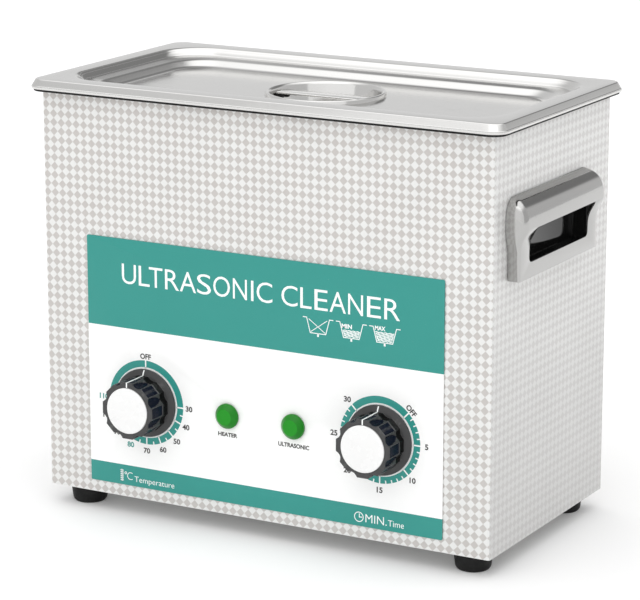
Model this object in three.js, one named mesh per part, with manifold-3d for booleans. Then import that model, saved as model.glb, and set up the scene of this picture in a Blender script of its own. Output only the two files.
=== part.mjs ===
// Benchtop ultrasonic cleaner: a heated stainless basin in a steel wrap casing, with a lift-off lid,
// two rotary controls, two side handles and a drain valve behind. Millimetres, +Z up, front towards -Y.
import * as THREE from "three";
import { mergeVertices } from "three/addons/utils/BufferGeometryUtils.js";
import Module from "manifold-3d";

const wasm = await Module();
wasm.setup();

// ---------------------------------------------------------------- driving dimensions
const gap = 0.3; // air left between pieces that touch
const sheet = 0.8; // casing steel
const footHeight = 12.2;

const casing = { halfX: 155.5, halfY: 81, bottom: footHeight, top: 265.8, bend: 2 };
const basin = { halfX: 150, halfY: 76, wall: 1, floor: 119, cornerRadius: 20, floorRadius: 12 };
const rim = { halfX: 162.7, halfY: 88.2, cornerRadius: 9.4, bottom: 267.6, top: 269 };
const gasketOverhang = 5.9;
const lid = { top: 273.5, bottom: rim.top + gap, sheet: 1, dishFloor: 264.1 };
const fingerCup = { radius: 35.7, depth: 15, bead: 2.1, raised: 2.5, cornerRadius: 5 };
const lidBar = {
  length: 63.4, width: 11.8, thickness: 1.4, belowBrim: 2.2, seatLength: 4.6, seatHeight: 3.2,
};

const panel = { left: -123.6, right: 124.6, bottom: 7.9, top: 166.3, thickness: 0.7 };
const panelMiddle = (panel.left + panel.right) / 2;
const dial = { apart: 164.4, z: 63.9 }; // heights on the front are above the casing's bottom edge
const lamp = { apart: 46.4, z: 63.7, radius: 7.9, neck: 5 };
const knob = {
  tip: 18.3, valley: 16.7, lobes: 8, reach: 23, flangeRadius: 21.7, flangeEdge: 1.5, flange: 3,
};
const knobCap = { radius: 14.5, dome: 1.2, seat: 1, edge: 0.6 };
const shaft = { radius: 3, hole: 5.5, inKnob: 6, flat: 1 };
const thermostat = { halfX: 18, halfZ: 16, depth: 23, tabsZ: [-10, 0, 10] };
const timer = { radius: 21, depth: 26, earX: 28, earHalfZ: 6, ear: 1.5, tabsX: [-8, 8] };
const mount = { behind: 1.7, collarRadius: 9, collar: 3, tabHalf: 3, tabThickness: 0.8, tabLength: 8 };
const lampHolder = { radius: 8, brim: 4, barrel: 6, depth: 18, leadX: 2.5, leadRadius: 0.8, leadLength: 7 };

const gripSides = [{ name: "right", side: 1, y: -9.3 }, { name: "left", side: -1, y: -5 }];
const grip = { openHalf: 41.3, openBottom: 174.6, openTop: 196.3, openCorner: 4, sheet: 1 };
const gripCup = { back: -3.9, front: 6.6, half: 44.2, bottom: 171.6, top: 208.3, wall: 1 };

const foot = {
  x: 136.7, y: 64.2, radius: 12.2, waist: 10.7, waistZ: 1.2, sole: 9.4, well: 5.6, wellTop: 6.2,
};
const footScrew = {
  head: 4.6, headFace: 3.6, headZ: 3, headTop: 5.9, shank: 2.2, clearance: 2.6, grip: 6.5,
};
const basePlate = { sheet: 1.2, height: 11, clearance: 0.4 };
const baseVents = { first: -70, pitch: 20, count: 8, width: 6, length: 80 };
const rearVents = { first: 92, pitch: 6, count: 9, width: 3, bottom: 38, top: 84 };
const drain = {
  x: 47.5, y: 40, z: 60, pipeRadius: 8, boreRadius: 5.5, collar: 13, collarHeight: 3, reach: 128.2,
};
const inlet = {
  x: -112, z: 52, halfX: 12, halfZ: 8, depth: 17,
  wall: 2, bodyDepth: 22, flangeHalfX: 25, flangeHalfZ: 12, flange: 2.6, screwX: 20, screwHole: 1.7,
};
const mainSwitch = {
  x: -70, z: 52, halfX: 9.5, halfZ: 6.5, tilt: 8, wall: 1, bezel: 2, bezelWidth: 3.5, depth: 20,
};
const fuse = { x: -38, z: 52, radius: 6, flange: 8.6, bezel: 2, cap: 9, depth: 30 };
const rearPlate = { left: -142, right: -20, bottom: 30, top: 74, thickness: 1, lap: 6, clearance: 0.4 };
const valve = { radius: 12, waist: 10, spout: 7.2, bore: 4.6, boss: 6, bossTop: 13.5, pivot: 14 };
const lever = { hub: 7, hubHeight: 3, length: 44, halfWidth: 4.5, thickness: 2.4, nut: 3.6, nutHeight: 6 };

const transducer = {
  x: [-95, 0, 95],
  frontMass: { radius: 29, brim: 4, footRadius: 23, height: 20 },
  stack: { radius: 22.5, bore: 6.5, height: 13, tabRadius: 24.5, tab: 1 },
  backMass: { radius: 22.3, height: 22 },
  bolt: { radius: 5, clearance: 5.4, thread: 12, headRadius: 8, headHeight: 6 },
};
const heaterPad = { halfX: 110, bottom: 132, top: 182, thickness: 1.5 };
const board = { x0: -140, x1: 10, y0: -32, y1: 42, z: 20.6, thickness: 1.6, postInset: 5 };
const heatSink = { x0: -128, x1: -72, y0: 8, y1: 34, base: 4, height: 22, fins: 8, fin: 2.1, finPitch: 7.7 };
const transformer = { x0: -60, x1: -24, y0: -14, y1: 18, height: 24, coilRadius: 10.5, coilOver: 4 };

const frontFace = -casing.halfY;
const panelFace = frontFace - gap - panel.thickness;
const rearPlateFace = casing.halfY + gap + rearPlate.thickness;
const fittingFace = rearPlateFace + gap;
const frontReach = -frontFace + knob.reach + knobCap.dome;
const cornerSteps = 5;

// ---------------------------------------------------------------- finishes
const finish = (color, metalness, roughness) =>
  new THREE.MeshStandardMaterial({ color, metalness, roughness });

const finishes = {
  patternedSteel: finish(0xe2e0dd, 0.3, 0.5),
  polishedSteel: finish(0xc9c9c7, 1, 0.25),
  plainSteel: finish(0x9a9c9e, 1, 0.45),
  rubber: finish(0x1d1d1d, 0, 0.85),
  overlay: finish(0x45a297, 0, 0.5),
  knobPlastic: finish(0x48484a, 0, 0.45),
  capPlastic: finish(0xf2f2f2, 0.1, 0.3),
  blackPlastic: finish(0x161616, 0, 0.5),
  greenLens: finish(0x30902f, 0, 0.3),
  aluminium: finish(0xb9bcc0, 1, 0.4),
  ceramic: finish(0xcfc7b0, 0, 0.6),
  silicone: finish(0xb5532c, 0, 0.7),
  circuitBoard: finish(0x1f5a34, 0, 0.55),
  brass: finish(0xb89a55, 1, 0.35),
  redPlastic: finish(0xb0221f, 0, 0.4),
};

// ---------------------------------------------------------------- geometry helpers
const cleaner = new THREE.Group();

function piece(name, geometry, material) {
  const mesh = new THREE.Mesh(geometry, material);
  mesh.name = name;
  cleaner.add(mesh);
  return mesh;
}

// Turns every face round when the surface encloses a negative volume.
function facingOut(geometry) {
  const position = geometry.getAttribute("position");
  const index = Array.from(geometry.index.array);
  const [a, b, c] = [new THREE.Vector3(), new THREE.Vector3(), new THREE.Vector3()];
  let volume = 0;
  for (let i = 0; i < index.length; i += 3) {
    a.fromBufferAttribute(position, index[i]);
    b.fromBufferAttribute(position, index[i + 1]);
    c.fromBufferAttribute(position, index[i + 2]);
    volume += a.dot(b.cross(c));
  }
  if (volume < 0) {
    for (let i = 0; i < index.length; i += 3) {
      [index[i + 1], index[i + 2]] = [index[i + 2], index[i + 1]];
    }
    geometry.setIndex(index);
  }
  return geometry;
}

// A closed solid through loops of equal length, capped at both ends, or joined last to first.
function loft(loops, ring = false) {
  const count = loops[0].length;
  const index = [];
  const bands = ring ? loops.length : loops.length - 1;
  for (let band = 0; band < bands; band++) {
    const near = band * count;
    const far = ((band + 1) % loops.length) * count;
    for (let i = 0; i < count; i++) {
      const j = (i + 1) % count;
      index.push(near + i, near + j, far + j, near + i, far + j, far + i);
    }
  }
  const last = (loops.length - 1) * count;
  for (let i = 1; !ring && i < count - 1; i++) {
    index.push(0, i + 1, i, last, last + i, last + i + 1);
  }
  const geometry = new THREE.BufferGeometry().setFromPoints(loops.flat());
  return facingOut(geometry.setIndex(index));
}

function roundedRectangle(halfX, halfY, radius, z, steps = cornerSteps) {
  const corners = [[1, 1], [-1, 1], [-1, -1], [1, -1]];
  return corners.flatMap(([sideX, sideY], corner) =>
    Array.from({ length: steps + 1 }, (_, i) => {
      const angle = ((corner + i / steps) * Math.PI) / 2;
      const x = sideX * (halfX - radius) + radius * Math.cos(angle);
      const y = sideY * (halfY - radius) + radius * Math.sin(angle);
      return new THREE.Vector3(x, y, z);
    }),
  );
}

// Sections are [halfX, halfY, cornerRadius, z].
const loops = (sections) => sections.map((section) => roundedRectangle(...section));

// Profiles are [radius, height]; the axis is Y, or Z once stood up.
function lathe(profile, segments = 24) {
  const points = profile.map(([radius, height]) => new THREE.Vector2(radius, height));
  return facingOut(new THREE.LatheGeometry(points, segments));
}
const standing = (geometry) => geometry.rotateX(Math.PI / 2);

function disc(radius, from, to, segments = 20) {
  return lathe([[0, from], [radius, from], [radius, to], [0, to]], segments);
}

function ringProfile(inner, outer, from, to) {
  return [[inner, from], [outer, from], [outer, to], [inner, to], [inner, from]];
}

function block(x0, x1, y0, y1, z0, z1) {
  const box = new THREE.BoxGeometry(x1 - x0, y1 - y0, z1 - z0);
  return box.translate((x0 + x1) / 2, (y0 + y1) / 2, (z0 + z1) / 2);
}

function solid(geometry) {
  const bare = new THREE.BufferGeometry();
  bare.setAttribute("position", geometry.getAttribute("position"));
  bare.setIndex(geometry.index);
  const merged = mergeVertices(bare, 1e-4);
  const vertProperties = merged.getAttribute("position").array;
  const triVerts = new Uint32Array(merged.index.array);
  return new wasm.Manifold(new wasm.Mesh({ numProp: 3, vertProperties, triVerts }));
}

function surface(manifold) {
  const mesh = manifold.getMesh();
  const geometry = new THREE.BufferGeometry();
  geometry.setAttribute("position", new THREE.BufferAttribute(mesh.vertProperties, 3));
  geometry.setIndex(new THREE.BufferAttribute(mesh.triVerts, 1));
  return geometry;
}

const cut = (body, tools) => tools.reduce((left, tool) => left.subtract(solid(tool)), body);
const join = (body, others) => others.reduce((left, other) => left.add(solid(other)), body);
const cutFrom = (geometry, tools) => surface(cut(solid(geometry), tools));

// An arc in a profile: points about a centre from one angle to another, in degrees.
function arc(centreR, centreZ, radius, from, to, steps) {
  return Array.from({ length: steps + 1 }, (_, i) => {
    const angle = THREE.MathUtils.degToRad(from + ((to - from) * i) / steps);
    return [centreR + radius * Math.cos(angle), centreZ + radius * Math.sin(angle)];
  });
}

// Places along X for a row of equal slots.
const spacedOut = ({ first, pitch, count }) => Array.from({ length: count }, (_, i) => first + i * pitch);

// A pin or hole along Y through the front or the back.
const alongY = (x, z, radius, y0, y1, segments = 16) =>
  disc(radius, y0, y1, segments).translate(x, 0, z);

const dialZ = casing.bottom + dial.z;
const lampZ = casing.bottom + lamp.z;
const controlX = { temperature: panelMiddle - dial.apart / 2, timer: panelMiddle + dial.apart / 2 };
const lampX = { heater: panelMiddle - lamp.apart / 2, ultrasonic: panelMiddle + lamp.apart / 2 };

// ---------------------------------------------------------------- casing and base
function makeCasing() {
  const { halfX, halfY, bottom, top, bend } = casing;
  const outer = [bottom, top].map((z) => roundedRectangle(halfX, halfY, bend, z));
  const inside = [bottom - 1, top - sheet].map((z) =>
    roundedRectangle(halfX - sheet, halfY - sheet, bend - sheet, z),
  );
  const mouth = [top - 2, top + 1].map((z) =>
    roundedRectangle(basin.halfX + 1.4, basin.halfY + 1.4, basin.cornerRadius + 1.4, z),
  );
  const air = 0.4;
  const cupHoles = gripSides.map(({ side, y }) =>
    block(
      -3, 3, y - gripCup.half - air, y + gripCup.half + air,
      bottom + gripCup.bottom - air, bottom + gripCup.top + air,
    ).translate(side * halfX, 0, 0),
  );
  const frontHoles = [
    ...Object.values(controlX).map((x) => alongY(x, dialZ, shaft.hole, -halfY - 2, -halfY + 2)),
    ...Object.values(lampX).map((x) => alongY(x, lampZ, shaft.hole, -halfY - 2, -halfY + 2)),
  ];
  const rearY = [halfY - 2, halfY + 2];
  const { left, right, lap } = rearPlate;
  const rearHoles = [
    block(left + lap, right - lap, ...rearY, rearPlate.bottom + lap, rearPlate.top - lap),
    alongY(drain.x, drain.z, drain.pipeRadius + 0.6, ...rearY),
  ];
  const slots = spacedOut(rearVents).map((x) =>
    block(x - rearVents.width / 2, x + rearVents.width / 2, ...rearY, rearVents.bottom, rearVents.top),
  );
  const openings = [...cupHoles, ...frontHoles, ...rearHoles, ...slots];
  const body = cut(solid(loft(outer)), [loft(inside), loft(mouth), ...openings]);
  piece("casing", surface(body), finishes.patternedSteel);
}

function makeBasePlate() {
  const { sheet: thickness, height, clearance } = basePlate;
  const halfX = casing.halfX - sheet - clearance;
  const halfY = casing.halfY - sheet - clearance;
  const tray = loft([casing.bottom, casing.bottom + height].map((z) =>
    roundedRectangle(halfX, halfY, thickness, z),
  ));
  const hollow = loft([casing.bottom + thickness, casing.bottom + height + 1].map((z) =>
    roundedRectangle(halfX - thickness, halfY - thickness, thickness / 2, z),
  ));
  const through = [casing.bottom - 1, casing.bottom + 3];
  const screwHoles = footPlaces.map(({ x, y }) =>
    standing(disc(footScrew.clearance, ...through, 10)).translate(x, y, 0),
  );
  const vents = spacedOut(baseVents).map((x) =>
    block(
      x - baseVents.width / 2, x + baseVents.width / 2,
      -baseVents.length / 2, baseVents.length / 2, ...through,
    ),
  );
  piece("base_plate", cutFrom(tray, [hollow, ...screwHoles, ...vents]), finishes.plainSteel);
}

const footPlaces = [
  { name: "front_left", x: -foot.x, y: -foot.y },
  { name: "front_right", x: foot.x, y: -foot.y },
  { name: "rear_left", x: -foot.x, y: foot.y },
  { name: "rear_right", x: foot.x, y: foot.y },
];

function makeFeet() {
  const top = footHeight - gap;
  const bore = footScrew.clearance;
  const footProfile = [
    [bore, top], [foot.radius, top], [foot.waist, foot.waistZ], [foot.sole, 0], [foot.well, 0],
    [foot.well, foot.wellTop], [bore, foot.wellTop], [bore, top],
  ];
  const { head, headFace, headZ, headTop, shank } = footScrew;
  const screwTop = footHeight + footScrew.grip;
  const screwProfile = [
    [0, headZ], [headFace, headZ], [head, headZ + 0.8], [head, headTop], [shank, headTop],
    [shank, screwTop], [0, screwTop],
  ];
  for (const { name, x, y } of footPlaces) {
    const rubberFoot = standing(lathe(footProfile, 20)).translate(x, y, 0);
    const screw = standing(lathe(screwProfile, 12)).translate(x, y, 0);
    piece("foot_" + name, rubberFoot, finishes.rubber);
    piece("foot_screw_" + name, screw, finishes.plainSteel);
  }
}

// ---------------------------------------------------------------- basin, gasket, lid
function makeBasin() {
  const { halfX, halfY, wall, floor, cornerRadius, floorRadius } = basin;
  const bowl = (grow, z0, radius) =>
    arc(0, 0, radius, -90, 0, 3).map(([run, drop]) => [
      halfX + grow - radius + run,
      halfY + grow - radius + run,
      cornerRadius + grow - (radius - run) * 0.5,
      z0 + radius + drop,
    ]);
  const mouthRadius = 1.2;
  const sections = [
    ...bowl(0, floor, floorRadius),
    [halfX, halfY, cornerRadius, rim.top - mouthRadius],
    [halfX + 0.4, halfY + 0.4, cornerRadius + 0.4, rim.top - 0.4],
    [halfX + mouthRadius, halfY + mouthRadius, cornerRadius + mouthRadius, rim.top],
    [rim.halfX - 0.6, rim.halfY - 0.6, rim.cornerRadius - 0.4, rim.top],
    [rim.halfX, rim.halfY, rim.cornerRadius, rim.top - 0.4],
    [rim.halfX, rim.halfY, rim.cornerRadius, rim.bottom + 0.4],
    [rim.halfX - 0.5, rim.halfY - 0.5, rim.cornerRadius - 0.4, rim.bottom],
    [halfX + wall + 0.2, halfY + wall + 0.2, cornerRadius + wall + 0.2, rim.bottom],
    [halfX + wall, halfY + wall, cornerRadius + wall, rim.bottom - 0.3],
    ...bowl(wall, floor - wall, floorRadius + wall).reverse(),
  ];
  const drainHole = standing(disc(drain.boreRadius, floor - 4, floor + 4, 24));
  const body = cutFrom(loft(loops(sections)), [drainHole.translate(drain.x, drain.y, 0)]);
  piece("tank", body, finishes.polishedSteel);
}

function makeGasket() {
  const outerX = casing.halfX + gasketOverhang;
  const outerY = casing.halfY + gasketOverhang;
  const innerX = basin.halfX + 1.6;
  const innerY = basin.halfY + 1.6;
  const z0 = casing.top + gap;
  const z1 = rim.bottom - gap;
  const sections = [
    [outerX, outerY, 8.4, z0], [outerX, outerY, 8.4, z1],
    [innerX, innerY, 21.6, z1], [innerX, innerY, 21.6, z0],
  ];
  piece("rim_gasket", loft(loops(sections), true), finishes.rubber);
}

// Lid sections from the skirt's lip over the flat rim and down the two-step dish to its flat floor.
const lidSections = [
  [162.3, 87.8, 9, lid.bottom],
  [159.3, 84.8, 7, lid.top - 0.5],
  [158.6, 84.1, 6.4, lid.top],
  [148.3, 72.3, 27.6, lid.top],
  [146.8, 70.8, 26.5, lid.top - 1],
  [145.4, 69.4, 25.6, lid.top - 4.4],
  [144.2, 68.2, 25, lid.top - 5.1],
  [137.2, 61.2, 23.4, lid.top - 5.6],
  [135.2, 59.2, 22.6, lid.top - 6.2],
  [131.2, 55.2, 21.4, lid.dishFloor + 0.4],
  [129.6, 53.6, 20.8, lid.dishFloor],
];

// The same sections moved by the sheet's thickness along the surface's underside.
function underside(sections, thickness) {
  return sections.map(([halfX, halfY, radius, z], i) => {
    const before = sections[Math.max(i - 1, 0)];
    const after = sections[Math.min(i + 1, sections.length - 1)];
    const run = after[0] - before[0];
    const drop = after[3] - before[3];
    const length = Math.hypot(run, drop);
    const inward = (-drop / length) * thickness;
    const grown = i === 0 ? inward - thickness * 0.1 : inward;
    const lowered = i === 0 ? z : z + (run / length) * thickness;
    return [halfX + grown, halfY + grown, radius + grown, lowered];
  });
}

function makeLid() {
  const top = lidSections;
  const under = underside(top, lid.sheet);
  const plate = loft(loops([...under.reverse(), ...top]));
  const hole = standing(disc(fingerCup.radius + 0.6, lid.dishFloor - 5, lid.dishFloor + 5, 40));
  const { radius, depth, bead, raised, cornerRadius } = fingerCup;
  const floorZ = lid.dishFloor - depth;
  const brim = lid.dishFloor + raised;
  const wallTop = radius - 1.2;
  const wallFoot = radius - 4.5;
  const cupCorner = (grown, from, to) =>
    arc(wallFoot - cornerRadius, floorZ + cornerRadius, cornerRadius + grown, from, to, 2);
  const inner = [
    [0, floorZ],
    ...cupCorner(0, -90, -12),
    [wallTop, brim - 1.8],
    [radius - 0.4, brim - 0.3],
    [radius + 0.4, brim],
    [radius + bead - 0.7, brim - 0.2],
    [radius + bead, lid.dishFloor + 0.3],
  ];
  const outer = [
    [radius + bead, lid.dishFloor - lid.sheet],
    [radius + 0.4, lid.dishFloor - lid.sheet - 0.2],
    [wallTop + 0.9, lid.dishFloor - 2.6],
    ...cupCorner(lid.sheet, -12, -90),
    [0, floorZ - lid.sheet],
  ];
  const cup = standing(lathe([...inner, ...outer], 40));
  piece("lid", surface(join(cut(solid(plate), [hole]), [cup])), finishes.polishedSteel);
}

function makeLidBar() {
  const halfLength = lidBar.length / 2;
  const top = lid.dishFloor + fingerCup.raised - lidBar.belowBrim;
  const bottom = top - lidBar.thickness;
  const seatBottom = bottom - lidBar.seatHeight;
  const seatEnd = halfLength - lidBar.seatLength;
  const edge = 0.6;
  const outline = new THREE.Shape();
  outline.moveTo(-halfLength, seatBottom);
  outline.lineTo(-seatEnd, seatBottom);
  outline.lineTo(-seatEnd, bottom);
  outline.lineTo(seatEnd, bottom);
  outline.lineTo(seatEnd, seatBottom);
  outline.lineTo(halfLength, seatBottom);
  outline.lineTo(halfLength, top - edge);
  outline.quadraticCurveTo(halfLength, top, halfLength - edge, top);
  outline.lineTo(-halfLength + edge, top);
  outline.quadraticCurveTo(-halfLength, top, -halfLength, top - edge);
  const bar = new THREE.ExtrudeGeometry(outline, {
    depth: lidBar.width, bevelEnabled: false, curveSegments: 3,
  });
  const turned = mergeVertices(standing(bar).translate(0, lidBar.width / 2, 0));
  piece("lid_bar", turned, finishes.polishedSteel);
}

// ---------------------------------------------------------------- front controls
function makePanel() {
  const z0 = casing.bottom + panel.bottom;
  const z1 = casing.bottom + panel.top;
  const plate = block(panel.left, panel.right, panelFace, frontFace - gap, z0, z1);
  const holes = [
    ...Object.values(controlX).map((x) => alongY(x, dialZ, shaft.hole, panelFace - 1, frontFace + 1)),
    ...Object.values(lampX).map((x) => alongY(x, lampZ, shaft.hole, panelFace - 1, frontFace + 1)),
  ];
  piece("front_panel", cutFrom(plate, holes), finishes.overlay);
}

function lobedLoop(y, scale) {
  const steps = knob.lobes * 6;
  const middle = (knob.tip + knob.valley) / 2;
  const swing = (knob.tip - knob.valley) / 2;
  return Array.from({ length: steps }, (_, i) => {
    const angle = (i / steps) * 2 * Math.PI;
    const lobe = Math.cos(knob.lobes * angle);
    const radius = (middle + swing * Math.sign(lobe) * Math.sqrt(Math.abs(lobe))) * scale;
    return new THREE.Vector3(radius * Math.sin(angle), y, radius * Math.cos(angle));
  });
}

function makeControl(name, x) {
  const back = panelFace - gap;
  const flangeEdge = back - knob.flangeEdge;
  const flangeFace = back - knob.flange;
  const front = frontFace - knob.reach;
  const flange = lathe([
    [0, back], [knob.flangeRadius, back], [knob.flangeRadius, flangeEdge + 0.4],
    [knob.flangeRadius - 0.4, flangeEdge], [knob.tip + 0.6, flangeFace], [0, flangeFace],
  ], 40);
  const lobed = loft([
    lobedLoop(flangeFace + 1, 1), lobedLoop(front + 1, 0.985), lobedLoop(front, 0.95),
  ]);
  const seat = disc(knobCap.radius + gap, front - 1, front + knobCap.seat + gap, 40);
  const bore = disc(shaft.radius + gap, back + 1, front + shaft.inKnob, 16);
  const body = surface(cut(join(solid(flange), [lobed]), [seat, bore]));
  piece(name + "_knob", body.translate(x, 0, dialZ), finishes.knobPlastic);

  const capBack = front + knobCap.seat;
  const { radius, edge, dome } = knobCap;
  const cap = lathe([
    [0, capBack], [radius, capBack], [radius, front - 0.1], [radius - edge, front - 0.1 - edge],
    [radius * 0.6, front - 0.8 * dome], [0, front - dome],
  ], 40);
  piece(name + "_knob_cap", cap.translate(x, 0, dialZ), finishes.capPlastic);

  const shaftFront = front + shaft.inKnob + gap;
  const shaftBack = frontFace + sheet + mount.behind - gap;
  const flat = shaft.radius - shaft.flat;
  const rod = cutFrom(disc(shaft.radius, shaftFront, shaftBack, 16), [
    block(-4, 4, shaftFront - 1, frontFace - 6, flat, shaft.radius + 1),
  ]);
  piece(name + "_shaft", rod.translate(x, 0, dialZ), finishes.plainSteel);
}

// Flat terminal tabs behind a switch, at places across it and up it.
function tabs(x, places, from) {
  const { tabHalf, tabThickness, tabLength } = mount;
  return places.map(([dx, dz]) => block(
    x + dx - tabHalf, x + dx + tabHalf, from - 1, from + tabLength,
    dialZ + dz - tabThickness / 2, dialZ + dz + tabThickness / 2,
  ));
}

function makeThermostat() {
  const x = controlX.temperature;
  const { halfX, halfZ, depth, tabsZ } = thermostat;
  const front = frontFace + sheet + mount.behind;
  const near = front + mount.collar;
  const far = near + depth;
  const box = block(x - halfX, x + halfX, near, far, dialZ - halfZ, dialZ + halfZ);
  const collar = alongY(x, dialZ, mount.collarRadius, front, near + 1);
  const terminals = tabs(x, tabsZ.map((dz) => [0, dz]), far);
  piece("thermostat", surface(join(solid(box), [collar, ...terminals])), finishes.blackPlastic);
}

function makeTimer() {
  const x = controlX.timer;
  const { radius, depth, earX, earHalfZ, ear, tabsX } = timer;
  const front = frontFace + sheet + mount.behind;
  const near = front + mount.collar;
  const far = near + depth;
  const can = alongY(x, dialZ, radius, near, far, 24);
  const collar = alongY(x, dialZ, mount.collarRadius, front, near + 1);
  const ears = block(x - earX, x + earX, near, near + ear, dialZ - earHalfZ, dialZ + earHalfZ);
  const terminals = tabs(x, tabsX.map((dx) => [dx, 0]), far);
  piece("timer", surface(join(solid(can), [collar, ears, ...terminals])), finishes.plainSteel);
}

function makeLamp(name, x) {
  const back = panelFace - gap;
  const lensProfile = [
    [0, frontFace + 1.3], [lamp.neck, frontFace + 1.3], [lamp.neck, back], [lamp.radius, back],
    [lamp.radius, back - 1.5], [lamp.radius - 2.8, back - 4.4], [0, back - 4.6],
  ];
  piece(name + "_lamp", lathe(lensProfile, 24).translate(x, 0, lampZ), finishes.greenLens);
  const front = frontFace + sheet + 0.9;
  const { radius, brim, barrel, depth, leadX, leadRadius, leadLength } = lampHolder;
  const holderProfile = [
    [0, front], [radius, front], [radius, front + brim], [barrel, front + brim],
    [barrel, front + depth], [0, front + depth],
  ];
  const leads = [-leadX, leadX].map((dx) =>
    alongY(dx, 0, leadRadius, front + depth - 1, front + depth + leadLength, 8),
  );
  const body = surface(join(solid(lathe(holderProfile, 16)), leads));
  piece(name + "_lamp_holder", body.translate(x, 0, lampZ), finishes.blackPlastic);
}

// ---------------------------------------------------------------- side handles
// Horizontal sections of the stamped handle: height above the casing's edge, reach from the casing,
// half length and corner radius. The lower frame stands off a little, and the hood above it flares out
// and leans back to its ridge.
const gripSections = [
  [165.5, 8, 54, 1.3], [181.5, 8, 54, 1.5], [185.5, 8.3, 55, 2.2], [188.8, 9.2, 56.2, 3.2],
  [191.6, 10.6, 57, 4.2], [194.2, 12.2, 57.4, 4.8], [196.3, 13.1, 57.5, 5.2], [200.2, 13.1, 57.5, 5.4],
  [204.2, 12.5, 57.3, 5.3], [207.8, 11.2, 56.6, 5.1], [210.8, 9.3, 55.2, 4.6], [213, 6.6, 53, 3.9],
  [214.7, 2.2, 50, 1.8],
];

function gripLoop(height, reach, halfLength, radius, rootReach) {
  const arcSteps = 4;
  const corner = (sideY, from) =>
    Array.from({ length: arcSteps + 1 }, (_, i) => {
      const angle = THREE.MathUtils.degToRad(from + (90 * i) / arcSteps);
      const s = reach - radius + radius * Math.cos(angle);
      const y = sideY * (halfLength - radius) + radius * Math.sin(angle);
      return new THREE.Vector3(s, y, height);
    });
  return [
    new THREE.Vector3(rootReach, -halfLength, height),
    ...corner(-1, -90),
    ...corner(1, 0),
    new THREE.Vector3(rootReach, halfLength, height),
  ];
}

function makeHandle(hand) {
  const { openHalf, openBottom, openTop, openCorner, sheet: thickness } = grip;
  const outer = gripSections.map(([z, reach, half, radius]) =>
    gripLoop(z, reach, half, radius, gap),
  );
  const inner = gripSections.map(([z, reach, half, radius], i) => {
    let height = z > openTop ? z - thickness : z;
    if (i === 0) height = z + thickness;
    return gripLoop(height, reach - thickness, half - thickness, radius - thickness, -3);
  });
  const window = new THREE.Shape();
  window.moveTo(-openHalf, openTop);
  window.lineTo(-openHalf, openBottom + openCorner);
  window.quadraticCurveTo(-openHalf, openBottom, -openHalf + openCorner, openBottom);
  window.lineTo(openHalf - openCorner, openBottom);
  window.quadraticCurveTo(openHalf, openBottom, openHalf, openBottom + openCorner);
  window.lineTo(openHalf, openTop);
  const throughX = new THREE.ExtrudeGeometry(window, {
    depth: 20, bevelEnabled: false, curveSegments: 5,
  });
  // The outline's own axes become Y and Z, and its depth runs along X.
  const turn = new THREE.Matrix4().makeBasis(
    new THREE.Vector3(0, 1, 0), new THREE.Vector3(0, 0, 1), new THREE.Vector3(1, 0, 0),
  );
  const openingTool = mergeVertices(throughX.applyMatrix4(turn).translate(-2, 0, 0));
  const shell = surface(cut(solid(loft(outer)), [loft(inner), openingTool]));
  placeOnSide(hand, "_handle", shell, finishes.polishedSteel);
}

// Geometry made for the right-hand side, with X measured from the casing's face, put on either side.
function placeOnSide({ name, side, y }, part, geometry, material) {
  geometry.translate(casing.halfX, y, casing.bottom);
  if (side < 0) {
    geometry.scale(-1, 1, 1);
    facingOut(geometry);
  }
  piece(name + part, geometry, material);
}

function makeFingerCup(hand) {
  const { back, front, half, bottom, top, wall } = gripCup;
  const tray = block(back, front, -half, half, bottom, top);
  const hollow = block(back + wall, front + 2, -half + wall, half - wall, bottom + wall, top - wall);
  placeOnSide(hand, "_finger_cup", cutFrom(tray, [hollow]), finishes.blackPlastic);
}

// ---------------------------------------------------------------- transducers, heaters, electronics
function makeTransducer(number, x) {
  const { frontMass, stack, backMass, bolt } = transducer;
  const name = `transducer_${number}_`;
  const turned = (part, profile, material, segments) =>
    piece(name + part, standing(lathe(profile, segments)).translate(x, 0, 0), material);

  const top = basin.floor - basin.wall - gap;
  const massBottom = top - frontMass.height;
  const threadTop = massBottom + bolt.thread;
  turned("front_mass", [
    [0, top], [frontMass.radius, top], [frontMass.radius, top - frontMass.brim],
    [frontMass.footRadius, massBottom], [bolt.clearance, massBottom], [bolt.clearance, threadTop],
    [0, threadTop],
  ], finishes.aluminium, 20);

  const stackTop = massBottom - gap;
  const stackBottom = stackTop - stack.height;
  const tabTop = stackTop - (stack.height - stack.tab) / 2;
  turned("piezo_stack", [
    [stack.bore, stackTop], [stack.radius, stackTop], [stack.radius, tabTop], [stack.tabRadius, tabTop],
    [stack.tabRadius, tabTop - stack.tab], [stack.radius, tabTop - stack.tab],
    [stack.radius, stackBottom], [stack.bore, stackBottom], [stack.bore, stackTop],
  ], finishes.ceramic, 16);

  const backTop = stackBottom - gap;
  const backBottom = backTop - backMass.height;
  const backProfile = ringProfile(bolt.clearance, backMass.radius, backBottom, backTop);
  turned("back_mass", backProfile, finishes.plainSteel, 20);

  const headTop = backBottom - gap;
  const headBottom = headTop - bolt.headHeight;
  turned("bolt", [
    [0, headBottom], [bolt.headRadius, headBottom], [bolt.headRadius, headTop], [bolt.radius, headTop],
    [bolt.radius, threadTop - 1], [0, threadTop - 1],
  ], finishes.plainSteel, 12);
}

function makeHeaterPads() {
  const { halfX, bottom, top, thickness } = heaterPad;
  const near = basin.halfY + basin.wall + gap;
  const far = near + thickness;
  piece("front_heater_pad", block(-halfX, halfX, -far, -near, bottom, top), finishes.silicone);
  piece("rear_heater_pad", block(-halfX, halfX, near, far, bottom, top), finishes.silicone);
}

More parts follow.
